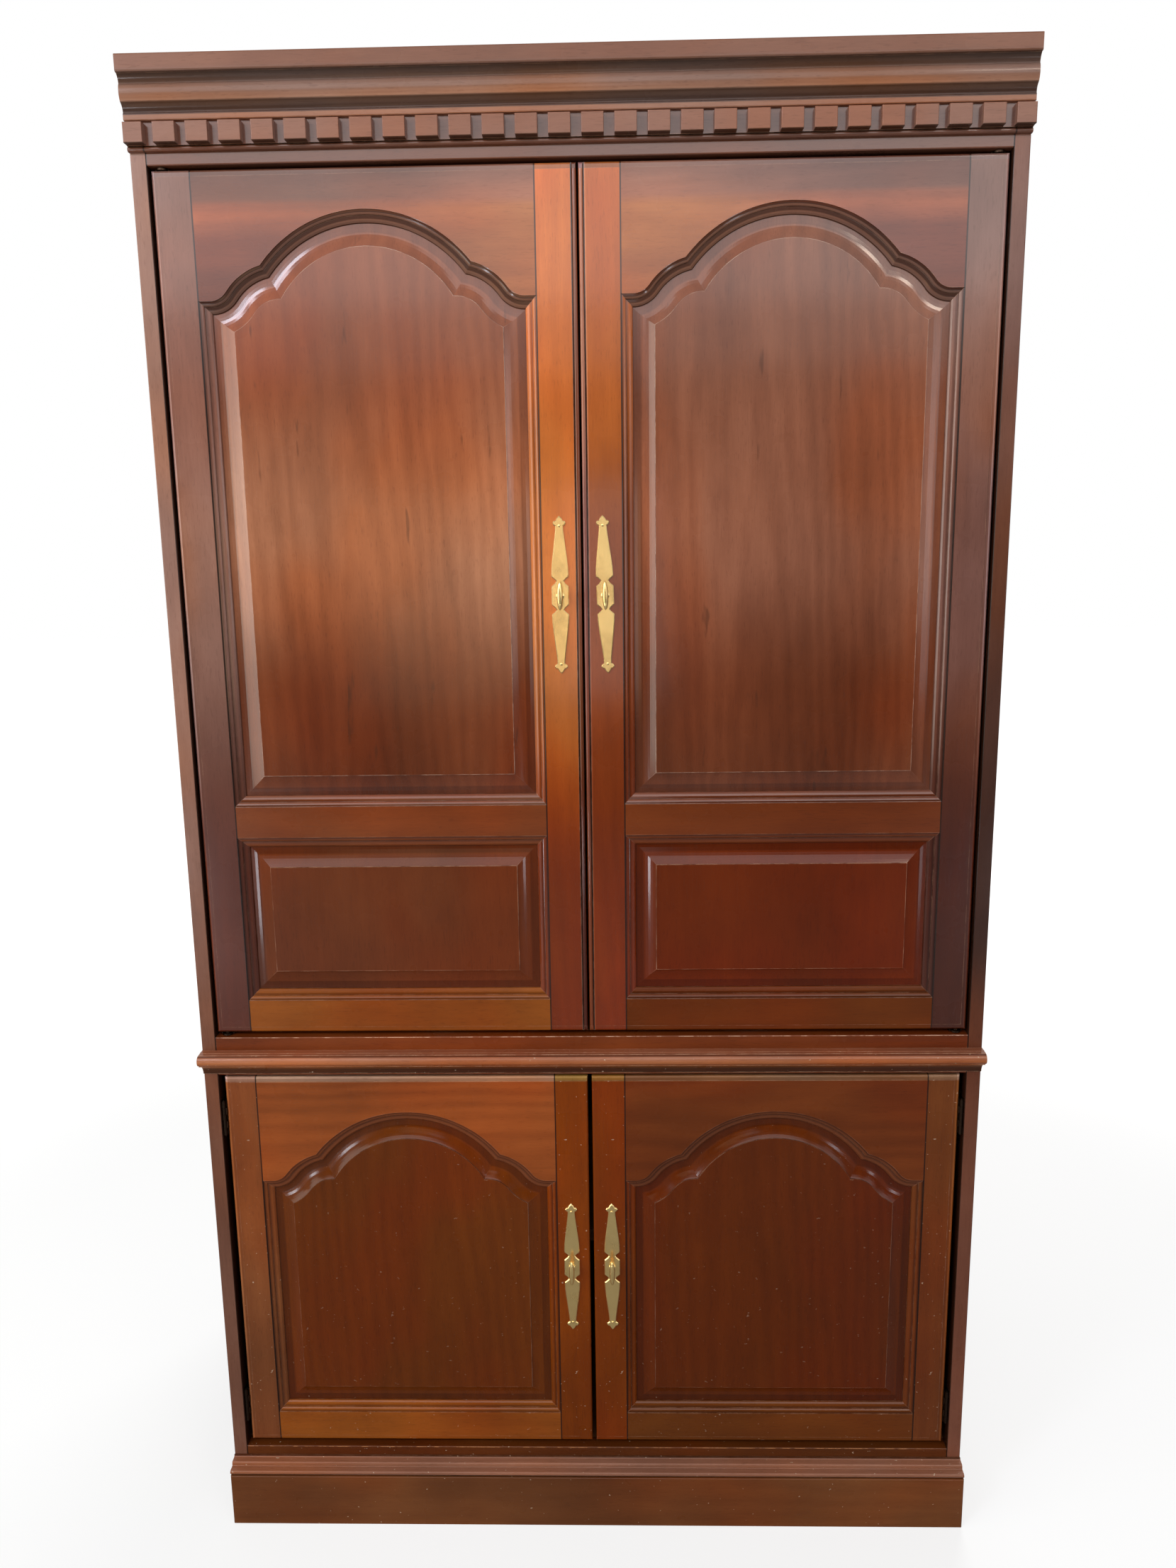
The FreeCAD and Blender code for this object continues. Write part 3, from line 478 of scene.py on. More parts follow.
class CherrySheet(FinishSheet):
    """One board's finish, laid on in coats over its own figure."""

    number_step: Point = (0.37, 0.53, 1.31)
    flank_from: float = 0.002
    flank_to: float = 0.006
    inner_from: float = 0.34
    inner_to: float = 0.08
    hollow_reach: float = 0.008
    hollow_share: float = 0.8
    edge_w: float = 0.012
    glaze_and_shade_rim: float = 0.0003
    glaze_and_shade_core: float = 0.0002
    cove_rim: float = 0.0004
    seam_rim: float = 0.0013
    seam_core: float = 0.0006
    seam_share: float = 0.9
    smear_rough: float = 0.07
    pore_rough: float = 0.10
    worn_rough: float = 0.25
    coat_rough: float = 0.11
    relief_depth: float = 0.0001
    relief_share: float = 0.2

    def __init__(self, cherry: Cherry, board: Board) -> None:
        """Find the coordinates on the board and in its wood.

        Args:
            cherry: The finish.
            board: The board, whose number moves the figure.
        """
        super().__init__("cherry_" + board.node)
        self.cherry, self.board = cherry, board
        low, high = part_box(board.node)
        self.front = low.y
        self.own = self.turned(self.place, tuple(-c for c in (low + high) / 2))
        shift = tuple(step * board.number for step in self.number_step)
        self.wood = self.turned(self.own, shift, board.grain.value)
        self.fibre = self.noise(self.wood, FIBRE)
        self.pore = self.noise(self.wood, PORES)

    def dress(self) -> Material:
        """Lay on the coats in order.

        Returns:
            The material.
        """
        worn = self._wear()
        self.colour = self._stain()
        self._strips()
        self._profiles()
        self._coves()
        # painted shade, with glazing: darker wood in the board's hollows
        hollow_glaze_and_shade = self.times(self.hollows(self.hollow_reach), self.hollow_share)
        self.colour = self.mix(self.colour, HOLLOW_GLAZE_AND_SHADE, hollow_glaze_and_shade)
        self.colour = self.mix(self.colour, self.cherry.worn_colour, worn)
        self._seams()
        if self.cherry.scuffs:
            speck = self.times(self.noise(self.own, SPECKS), self.cherry.scuffs)
            self.colour = self.mix(self.colour, SCUFF_PALE, speck)
        rough = self.plus(self.swing(self.noise(self.own, SMEARS), self.smear_rough),
                          self.cherry.satin, self.times(self.pore, self.pore_rough),
                          self.times(worn, self.worn_rough), clamp=True)
        dents = self.plus(self.times(self.fibre, 0.5), self.times(self.pore, -0.5),
                          self.noise(self.own, DENTS))
        normal = self.relief(dents, self.relief_depth, self.relief_share)
        return self.close(self.colour, rough, normal,
                          Specular_IOR_Level=self.cherry.specular,
                          Coat_Weight=self.cherry.lacquer, Coat_Roughness=self.coat_rough)

    def _stain(self) -> Socket:
        """Colour of the flat wood, before glaze and wear.

        Returns:
            The colour.
        """
        wood, front, cherry = self.wood, self.front, self.cherry
        cloud = self.noise(wood, replace(CLOUD, stretch=(1, 1, cherry.cloud_run)))
        shade = self.plus(0.5, self.swing(cloud, 1.6 * cherry.cloud),
                          self.swing(self.noise(wood, MOTTLE), cherry.mottle),
                          self.swing(self.noise(wood, BANDS), cherry.band),
                          self.swing(self.fibre, cherry.fibre),
                          self.swing(self._rings(), cherry.figure),
                          self.times(self.pore, -0.10), clamp=True)
        stain = self._tone(cherry.tones)
        if cherry.flank:
            behind = self.span(self.along("Y"), front + self.flank_from,
                               front + self.flank_to)
            stain = self.mix(stain, self._tone(cherry.flank), behind)
        if cherry.inner:
            inward = self.span(self.off_middle(), self.inner_from, self.inner_to)
            stain = self.mix(stain, self._tone(cherry.inner), inward)
        colour = self.over(stain, self.ramp(shade, SHADES))
        colour = self.over(colour, self.ramp(self.noise(wood, TINT), WARMTH), 0.85)
        if cherry.streaks:
            streak = self.times(self.noise(wood, STREAKS), cherry.streaks)
            colour = self.mix(colour, STREAK_DARK, streak)
        return colour

    def _tone(self, tones: Tones) -> Value:
        """The stain's colour at a point's height.

        Args:
            tones: Heights and colours.

        Returns:
            The colour.
        """
        bottom, top = tones[0][0], tones[-1][0]
        if len(tones) == 1:
            return tones[0][1]
        rise = self.math("SUBTRACT", self.along("Z"), bottom)
        share = self.math("DIVIDE", rise, top - bottom, clamp=True)
        return self.ramp(share, (((z - bottom) / (top - bottom), colour)
                                 for z, colour in tones), "EASE")

    def _rings(self) -> Socket:
        """Growth rings that a flat-sawn face cuts into long uneven arches.

        Returns:
            0 to 1 across each ring.
        """
        number = self.board.number
        lean = math.radians(2.6 + 1.4 * math.sin(2.1 * number))
        side = 0.05 * math.sin(1.7 * number + 0.4)
        heart = self.turned(self.own, (side, -0.030, 0.0), self.board.grain.value)
        heart = self.turned(heart, turn=(lean, 0.4 * lean, 0.0))
        feeds = {"Vector": self.turned(heart, stretch=(1, 1, 0.16)), "Scale": 16.0,
                 "Distortion": 16.0, "Detail": 4.0, "Detail Scale": 0.35,
                 "Detail Roughness": 0.65}
        return self.add("TexWave", feeds, wave_type="RINGS", rings_direction="Z",
                        wave_profile="SIN").outputs["Fac"]

    def _wear(self) -> Socket:
        """How far the stain is worn off, in patches along edges and lines.

        Returns:
            The share.
        """
        worn = self.times(self.edges(self.cherry.worn_reach),
                          self.noise(self.own, WORN_PATCHES))
        worn = self.times(worn, self.cherry.worn)
        for low, high in self.cherry.lines:
            line = self.times(self.noise(self.own, WORN_LINES),
                              self.between(self.along("Z"), low, high))
            worn = self.math("MAXIMUM", worn, line)
        return worn

    def _strips(self) -> None:
        """Paint light and shade along the beads and rims by changing their colour."""
        for axis, low, high, by in self.cherry.strips:
            value = self.off_middle() if axis == "X" else self.along(axis)
            self.colour = self.over(self.colour, by, self.between(value, low, high))

    def _profiles(self) -> None:
        """Paint sheen into a door's profiles, with glazing and painted shade along their
        quirks.
        """
        outline, front, glaze_and_shade = self.board.outline, self.front, self.cherry.glaze_and_shade
        inner = self.within(outline, self.edge_w) if outline and glaze_and_shade else 1.0
        depth = self.along("Y")
        # painted sheen: the sticking colour greys a door's profiles where they sit in shade
        if self.cherry.sticking_sheen:
            deep = self.span(depth, front + 0.0011, front + 0.0016, 0.0, 0.75)
            self.colour = self.mix(self.colour, self.cherry.sticking_sheen,
                                   self.times(deep, inner))
        for near, far, share in glaze_and_shade:
            near, far = front + near, front + far
            start = self.span(depth, near - self.glaze_and_shade_rim, near + self.glaze_and_shade_core, 0.0,
                              share)
            stop = self.span(depth, far + self.glaze_and_shade_rim, far - self.glaze_and_shade_core)
            self.colour = self.over(self.colour, QUIRK_GLAZE_AND_SHADE,
                                    self.times(self.times(start, stop), inner))

    def _coves(self) -> None:
        """Leave dark glazing and painted shade in the hollows of a moulding."""
        height = self.along("Z")
        for low, high, soft, share in self.cherry.coves:
            above = self.span(height, low - soft, low + soft, 0.0, share)
            below = self.span(height, high + self.cove_rim, high - self.cove_rim)
            self.colour = self.over(self.colour, COVE_GLAZE_AND_SHADE, self.times(above, below))

    def _seams(self) -> None:
        """Draw dark hairlines where upright boards and rails meet."""
        away = self.off_middle()
        for seam in self.cherry.seams:
            line = self.span(self.gap(away, seam), self.seam_rim, self.seam_core, 0.0,
                             self.seam_share)
            self.colour = self.mix(self.colour, SEAM_DARK, line)


@dataclass(frozen=True)
class Metal:
    """Polished or plated metal that dulls in patches and in its hollows."""

    name: str
    bright: Colour
    dull: Colour
    rough: float
    patches: float = 90.0
    metallic: float = 1.0
    tarnish: float = 0.45
    brushed: Pattern = Pattern(2400.0, 2.0, stretch=(1, 1, 0.06))
    uneven: Pattern = Pattern(120.0, 2.0)

    def dress(self) -> Material:
        """Make the finish.

        Returns:
            The material.
        """
        sheet = FinishSheet(self.name)
        patch = sheet.noise(sheet.place, Pattern(self.patches, 4.0, 0.6))
        brushed = sheet.noise(sheet.place, self.brushed)
        tarnish = sheet.plus(sheet.span(patch, 0.42, 0.75, 0.0, self.tarnish),
                             sheet.times(sheet.hollows(0.002), 0.7), clamp=True)
        colour = sheet.mix(self.bright, self.dull, tarnish)
        rough = sheet.plus(sheet.times(tarnish, 0.22), self.rough,
                           sheet.swing(brushed, 0.04), clamp=True)
        uneven = sheet.plus(sheet.times(brushed, 0.12),
                            sheet.noise(sheet.place, self.uneven))
        return sheet.close(colour, rough, sheet.relief(uneven, 0.0001, 0.25),
                           Metallic=self.metallic)


@dataclass(frozen=True)
class Fibreboard:
    """Pressed board with chips of lighter and darker fibre."""

    name: str
    base: Colour
    fleck: Colour
    fibre: Pattern = Pattern(900.0, 4.0, 0.75)
    chips: Pattern = Pattern(420.0, 2.0, steps=(0.56, 0.70))
    cloud: Pattern = Pattern(4.0)
    tones: Tones = ((0.0, (0.55, 0.50, 0.46)), (1.0, (1.4, 1.4, 1.4)))

    def dress(self) -> Material:
        """Make the finish.

        Returns:
            The material.
        """
        sheet = FinishSheet(self.name)
        fine, cloud, chips = (sheet.noise(sheet.place, kind)
                              for kind in (self.fibre, self.cloud, self.chips))
        colour = sheet.mix(self.base, self.fleck, sheet.times(chips, 0.6))
        tone = sheet.plus(sheet.swing(cloud, 0.18), sheet.swing(fine, 0.30), 0.5,
                          clamp=True)
        colour = sheet.over(colour, sheet.ramp(tone, self.tones))
        rough = sheet.plus(sheet.swing(fine, 0.1), 0.66)
        return sheet.close(colour, rough, sheet.relief(fine, 0.0002, 0.4),
                           Specular_IOR_Level=0.25)


@dataclass(frozen=True)
class MouldedPlastic:
    """Moulded brown plastic with a fine spark texture."""

    name: str
    base: Colour = (0.10, 0.045, 0.025)
    spark: Pattern = Pattern(2200.0, 2.0)
    flow: Pattern = Pattern(60.0, 2.0)

    def dress(self) -> Material:
        """Make the finish.

        Returns:
            The material.
        """
        sheet = FinishSheet(self.name)
        spark, flow = (sheet.noise(sheet.place, kind) for kind in (self.spark, self.flow))
        colour = sheet.mix(self.base, tuple(1.5 * c for c in self.base), flow)
        rough = sheet.plus(sheet.swing(flow, 0.05), 0.42)
        return sheet.close(colour, rough, sheet.relief(spark, 0.00008, 0.4))


# depths and shares of glazing and painted shade on frames, arched rails and panels
QUIRKS = ((0.0010, 0.0017, 0.60), (0.0047, 0.0053, 0.60), (0.0090, 0.0300, 0.80))
DEEP_QUIRKS = ((0.0010, 0.0019, 0.88), (0.0045, 0.0056, 0.85), (0.0080, 0.0300, 0.80))
COVE_EDGES = ((0.0002, 0.0011, 0.65), (0.0072, 0.0300, 0.45))
# painted light: paler strips along the doors' rounded outer and top edges, in their shade
LIT_RIM_X = ("X", 0.5236, 0.5300, (1.7, 2.0, 2.4))
LIT_RIM_TOP = ("Z", 1.9066, 1.9150, (1.0, 1.15, 1.3))
LOW_LIT_RIM_X = ("X", 0.5198, 0.5300, (1.8, 2.1, 2.6))
SOFT_LACQUER = {"specular": 0.08, "lacquer": 0.35}


def even(red: float, green: float, blue: float) -> Tones:
    """One stain colour at all heights."""
    return ((0.0, (red, green, blue)),)


class Stain:
    """The cabinet's stains: deep red-brown below, with a painted sheen that grows hazier and
    paler towards the top.
    """

    # painted light and shade: the tones paint a highlight at the foot of the ovolo and shade
    # below the top band and in the lower cove, and `coves` adds painted shade in both
    # hollows
    CROWN = Cherry(
        ((1.966, (0.300, 0.135, 0.080)), (1.9715, (0.300, 0.135, 0.080)),
         (1.9728, (0.065, 0.030, 0.021)), (1.977, (0.070, 0.036, 0.026)),
         (1.984, (0.150, 0.078, 0.052)), (1.9865, (0.350, 0.175, 0.110)),
         (1.989, (0.310, 0.150, 0.096)), (1.995, (0.240, 0.124, 0.086)),
         (2.003, (0.220, 0.115, 0.082)), (2.013, (0.180, 0.095, 0.068)),
         (2.020, (0.212, 0.082, 0.045))), cloud=0.12, figure=0.02, worn=0.3,
        coves=((2.0035, 2.0146, 0.0035, 0.85), (1.9760, 1.9856, 0.0020, 0.35)),
        **SOFT_LACQUER)
    FRIEZE = Cherry(even(0.152, 0.058, 0.035), cloud=0.12, figure=0.02, seams=(0.530,))
    # painted shadow: the dentils' `coves` band darkens their undersides
    DENTIL = Cherry(
        even(0.265, 0.115, 0.072), cloud=0.08, figure=0.02, worn=0.3,
        coves=((1.9390, 1.9402, 0.0002, 0.9),), **SOFT_LACQUER)
    SIDE_LEFT = Cherry(
        ((0.5, (0.150, 0.060, 0.036)), (1.9, (0.370, 0.198, 0.148))), seams=(0.530,),
        **SOFT_LACQUER, flank=((0.3, (0.105, 0.030, 0.012)), (1.9, (0.170, 0.058, 0.030))))
    SIDE_RIGHT = replace(
        SIDE_LEFT,
        tones=((0.40, (0.185, 0.062, 0.034)), (0.74, (0.130, 0.044, 0.024)),
               (0.95, (0.042, 0.015, 0.009)), (1.9, (0.205, 0.090, 0.063))))
    WAIST = Cherry(
        even(0.160, 0.032, 0.006), cloud=0.30, band=0.08, worn=0.95, worn_reach=0.0020,
        worn_colour=(0.85, 0.55, 0.38), seams=(0.530,), lines=((0.7748, 0.7755),),
        **SOFT_LACQUER)
    # painted light and shade: the nose is paler on its shaded lower half, darker at its foot
    # where shade falls, and `coves` darkens the notch at its top
    NOSE = Cherry(
        ((0.722, (0.050, 0.014, 0.005)), (0.728, (0.070, 0.020, 0.006)),
         (0.734, (0.230, 0.068, 0.018)), (0.7415, (0.330, 0.095, 0.030)),
         (0.7475, (0.360, 0.115, 0.042)), (0.7505, (0.340, 0.120, 0.058)),
         (0.7535, (0.345, 0.130, 0.068)), (0.7552, (0.230, 0.064, 0.028)),
         (0.7566, (0.260, 0.080, 0.035))), cloud=0.28, band=0.06, worn=0.9,
        worn_reach=0.0018, worn_colour=(0.66, 0.40, 0.25), scuffs=0.6,
        coves=((0.7548, 0.7557, 0.0002, 0.8),), **SOFT_LACQUER)
    BASE = Cherry(
        even(0.086, 0.021, 0.004), worn=0.95, worn_reach=0.0018,
        worn_colour=(0.55, 0.23, 0.08), scuffs=0.8, seams=(0.530,),
        lines=((0.1128, 0.1135),), **SOFT_LACQUER)
    CAP = Cherry(
        ((0.0850, (0.030, 0.010, 0.005)), (0.0856, (0.265, 0.110, 0.064)),
         (0.0975, (0.265, 0.110, 0.064)), (0.0990, (0.070, 0.020, 0.006))), cloud=0.18,
        worn=0.3, scuffs=1.0, **SOFT_LACQUER)
    PLINTH = Cherry(
        even(0.142, 0.043, 0.012), cloud=0.26, worn=0.5, scuffs=0.8, **SOFT_LACQUER)
    UP_STILE_LEFT = Cherry(
        ((1.00, (0.084, 0.017, 0.007)), (1.43, (0.270, 0.130, 0.092)),
         (1.72, (0.260, 0.090, 0.052)), (1.90, (0.190, 0.085, 0.062))), glaze_and_shade=QUIRKS,
        seams=(0.4794,), strips=(LIT_RIM_X, LIT_RIM_TOP))
    UP_STILE_RIGHT = replace(
        UP_STILE_LEFT,
        tones=((1.00, (0.055, 0.010, 0.0035)), (1.43, (0.200, 0.085, 0.062)),
               (1.72, (0.230, 0.104, 0.074)), (1.90, (0.190, 0.085, 0.060))))
    # painted light: the upper meeting stiles' orange stands for a warm reflection, and their
    # strips paint a cool reflection along the top, shade on the left bead and in the quirks,
    # and highlights on the right bead
    UP_MEETING_LEFT = Cherry(
        ((1.00, (0.168, 0.024, 0.001)), (1.45, (0.590, 0.165, 0.029)),
         (1.72, (0.590, 0.140, 0.021))), glaze_and_shade=QUIRKS, seams=(0.053,),
        strips=(("Z", 1.9066, 1.9150, (0.60, 0.80, 1.6)),
                ("X", 0.0, 0.0072, (0.36, 0.34, 0.60)),
                ("X", 0.0074, 0.0086, (0.14, 0.10, 0.10))))
    UP_MEETING_RIGHT = replace(
        UP_MEETING_LEFT,
        tones=((1.00, (0.165, 0.021, 0.001)), (1.45, (0.240, 0.050, 0.010)),
               (1.72, (0.500, 0.118, 0.016))),
        strips=(("Z", 1.9066, 1.9150, (0.60, 0.80, 1.6)),
                ("X", 0.0, 0.0071, (0.92, 1.35, 5.0)),
                ("X", 0.0074, 0.0086, (0.20, 0.14, 0.14)),
                ("X", 0.0088, 0.0100, (1.4, 1.9, 5.0))))
    # painted sheen: the top rails' `inner` tones paint a pink-orange sheen near the middle,
    # and `sticking_sheen` a greyish sheen in the shaded profiles
    UP_TOP_RAIL = Cherry(
        ((1.74, (0.138, 0.034, 0.014)), (1.83, (0.170, 0.040, 0.016)),
         (1.848, (0.245, 0.066, 0.026)), (1.860, (0.320, 0.092, 0.034)),
         (1.870, (0.250, 0.076, 0.032)), (1.880, (0.150, 0.060, 0.037)),
         (1.91, (0.125, 0.052, 0.036))), cloud=0.30, band=0.16, mottle=0.08,
        glaze_and_shade=DEEP_QUIRKS, seams=(0.053, 0.4794),
        inner=((1.74, (0.310, 0.080, 0.016)), (1.845, (0.340, 0.092, 0.018)),
               (1.862, (0.380, 0.112, 0.026)), (1.878, (0.300, 0.094, 0.044)),
               (1.905, (0.230, 0.080, 0.044))), strips=(LIT_RIM_TOP,),
        sticking_sheen=(0.150, 0.082, 0.058))
    UP_MID_RAIL = Cherry(
        even(0.165, 0.036, 0.008), band=0.06, glaze_and_shade=QUIRKS, seams=(0.053, 0.4794))
    UP_LOW_RAIL = Cherry(
        even(0.170, 0.038, 0.005), band=0.06, glaze_and_shade=QUIRKS, seams=(0.053, 0.4794),
        **SOFT_LACQUER)
    # painted sheen: the big panels are palest at mid height
    UP_PANEL_LEFT = Cherry(
        ((1.10, (0.135, 0.031, 0.010)), (1.25, (0.158, 0.036, 0.011)),
         (1.47, (0.390, 0.146, 0.070)), (1.71, (0.255, 0.066, 0.024))), cloud=0.34,
        cloud_run=0.26, mottle=0.12, band=0.02, figure=0.05, streaks=0.45, glaze_and_shade=COVE_EDGES,
        worn=0.85, worn_colour=(0.78, 0.50, 0.36))
    UP_PANEL_RIGHT = replace(
        UP_PANEL_LEFT,
        tones=((1.10, (0.142, 0.037, 0.014)), (1.25, (0.153, 0.036, 0.012)),
               (1.47, (0.270, 0.093, 0.048)), (1.71, (0.240, 0.077, 0.036))))
    SMALL_PANEL = Cherry(
        even(0.128, 0.024, 0.005), mottle=0.07, band=0.01, figure=0.015, glaze_and_shade=COVE_EDGES,
        worn=0.8, worn_colour=(0.62, 0.33, 0.20), **SOFT_LACQUER)
    # painted light: the lower doors' rounded top edge sits in the shade of the waist
    # moulding and is painted paler, as if it caught the ceiling's light
    LO_TOP_EDGE_SHEEN = ((0.7050, (0.30, 0.125, 0.070)), (0.7058, (0.30, 0.125, 0.070)),
                   (0.7064, (0.23, 0.108, 0.070)), (0.7092, (0.23, 0.108, 0.070)),
                   (0.7106, (0.34, 0.17, 0.115)))
    LO_STILE = Cherry(
        ((0.15, (0.140, 0.033, 0.008)), (0.65, (0.172, 0.044, 0.011)),
         (0.7044, (0.172, 0.044, 0.011)), *LO_TOP_EDGE_SHEEN), glaze_and_shade=QUIRKS, scuffs=0.6,
        seams=(0.479,), strips=(LOW_LIT_RIM_X,), **SOFT_LACQUER)
    LO_MEETING = Cherry(
        ((0.15, (0.148, 0.026, 0.001)), (0.65, (0.180, 0.031, 0.001)),
         (0.7044, (0.180, 0.031, 0.001)), *LO_TOP_EDGE_SHEEN), glaze_and_shade=QUIRKS, scuffs=0.6,
        seams=(0.050,), **SOFT_LACQUER)
    LO_TOP_RAIL = Cherry(
        ((0.7044, (0.195, 0.040, 0.008)), *LO_TOP_EDGE_SHEEN), band=0.10, figure=0.06,
        glaze_and_shade=QUIRKS, seams=(0.050, 0.479), sticking_sheen=(0.150, 0.045, 0.018), **SOFT_LACQUER)
    LO_LOW_RAIL = Cherry(
        even(0.182, 0.041, 0.005), band=0.06, glaze_and_shade=QUIRKS, scuffs=0.4, seams=(0.050, 0.479),
        **SOFT_LACQUER)
    LO_PANEL = Cherry(
        ((0.15, (0.102, 0.022, 0.002)), (0.60, (0.112, 0.024, 0.002))), cloud=0.16,
        cloud_run=0.30, mottle=0.09, band=0.015, figure=0.04, scuffs=0.2, glaze_and_shade=COVE_EDGES,
        **SOFT_LACQUER)
    INNER = Cherry(
        ((0.2, (0.15, 0.060, 0.028)), (1.9, (0.17, 0.070, 0.034))), cloud=0.10, figure=0.02,
        satin=0.42, lacquer=0.0, worn=0.1)


# each door's boards in order: their grain, and the left and the right door's finish
DOOR_BOARDS: dict[Level, dict[str, tuple[Grain, Cherry, Cherry]]] = {
    Level.UPPER: {
        "stile_outer": (Grain.UPRIGHT, Stain.UP_STILE_LEFT, Stain.UP_STILE_RIGHT),
        "stile_meet": (Grain.UPRIGHT, Stain.UP_MEETING_LEFT, Stain.UP_MEETING_RIGHT),
        "rail_top": (Grain.ACROSS, *Stain.UP_TOP_RAIL.pair((1.05, 0.92, 0.80),
                                                           (1.04, 0.86, 0.80))),
        "rail_mid": (Grain.ACROSS, *Stain.UP_MID_RAIL.pair((1.08, 1.18, 1.30),
                                                           (0.95, 0.83, 0.60))),
        "rail_low": (Grain.ACROSS, *Stain.UP_LOW_RAIL.pair((1.38, 1.58, 1.40),
                                                           (0.73, 0.68, 0.45))),
        "panel": (Grain.UPRIGHT, Stain.UP_PANEL_LEFT, Stain.UP_PANEL_RIGHT),
        "panel_small": (Grain.UPRIGHT, *Stain.SMALL_PANEL.pair((1.00, 1.22, 1.60),
                                                               (1.03, 0.75, 0.40))),
    },
    Level.LOWER: {
        "stile_outer": (Grain.UPRIGHT, *Stain.LO_STILE.pair((1.20, 1.44, 1.70),
                                                            (0.89, 0.88, 0.66))),
        "stile_meet": (Grain.UPRIGHT, *Stain.LO_MEETING.pair((1.14, 1.19, 0.40),
                                                             (0.99, 1.00, 0.35))),
        "rail_top": (Grain.ACROSS, *Stain.LO_TOP_RAIL.pair((1.40, 1.55, 1.45),
                                                           (0.68, 0.67, 0.50))),
        "rail_low": (Grain.ACROSS, *Stain.LO_LOW_RAIL.pair((1.36, 1.48, 1.07),
                                                           (0.66, 0.72, 0.65))),
        "panel": (Grain.UPRIGHT, *Stain.LO_PANEL.pair((1.20, 1.14, 0.75),
                                                      (1.03, 0.80, 0.45))),
    },
}


class Hardware:
    """The cabinet's other finishes."""

    BRASS = Metal("brass", (0.88, 0.64, 0.27), (0.52, 0.31, 0.10), 0.22, 24.0,
                  metallic=0.88, tarnish=0.30)
    BRONZE = Metal("bronzed_steel", (0.040, 0.024, 0.016), (0.020, 0.012, 0.008), 0.38)
    STEEL = Metal("zinc_steel", (0.58, 0.59, 0.61), (0.30, 0.29, 0.28), 0.30, 160.0)
    BACK = Fibreboard("back_board", (0.155, 0.085, 0.047), (0.26, 0.16, 0.09))
    PLASTIC = MouldedPlastic("brown_plastic")


# modelling


def clear_selection() -> None:
    """Leave edit mode and let go of every object."""
    if bpy.context.mode != "OBJECT":
        bpy.ops.object.mode_set(mode="OBJECT")
    bpy.ops.object.select_all(action="DESELECT")


def take(obj: Piece) -> None:
    """Select one object alone and make it the active one.

    Args:
        obj: The object.
    """
    clear_selection()
    obj.select_set(True)
    bpy.context.view_layer.objects.active = obj


def settle(obj: Piece, name: str) -> Piece:
    """Put an object's place in its mesh and name it.

    Args:
        obj: The object.
        name: Its name.

    Returns:
        The same object.
    """
    take(obj)
    bpy.ops.object.transform_apply(location=True, rotation=True, scale=True)
    obj.name = name
    obj.data.name = name
    return obj


def block(name: str, centre: Point, size: Point, turn: Point = ORIGIN) -> Piece:
    """Start a piece from a block.

    Args:
        name: Name of the piece.
        centre: The block's middle.
        size: Its sizes.
        turn: Its Euler angles.

    Returns:
        The piece.
    """
    clear_selection()
    bpy.ops.mesh.primitive_cube_add(size=1, location=centre, rotation=turn)
    bpy.context.object.scale = size
    return settle(bpy.context.object, name)


def disc(name: str, radius: float, depth: float, y: float, sides: int) -> Piece:
    """Start a piece from a disc that faces -Y.

    Args:
        name: Name of the piece.
        radius: The disc's radius.
        depth: Its thickness.
        y: Its middle.
        sides: How many sides it has.

    Returns:
        The piece.
    """
    clear_selection()
    bpy.ops.mesh.primitive_cylinder_add(vertices=sides, radius=radius, depth=depth,
                                        location=(0, y, 0), rotation=(math.pi / 2, 0, 0))
    return settle(bpy.context.object, name)


def discard(obj: Piece) -> None:
    """Remove an object and its mesh.

    Args:
        obj: The object.
    """
    mesh = obj.data
    bpy.data.objects.remove(obj)
    bpy.data.meshes.remove(mesh)


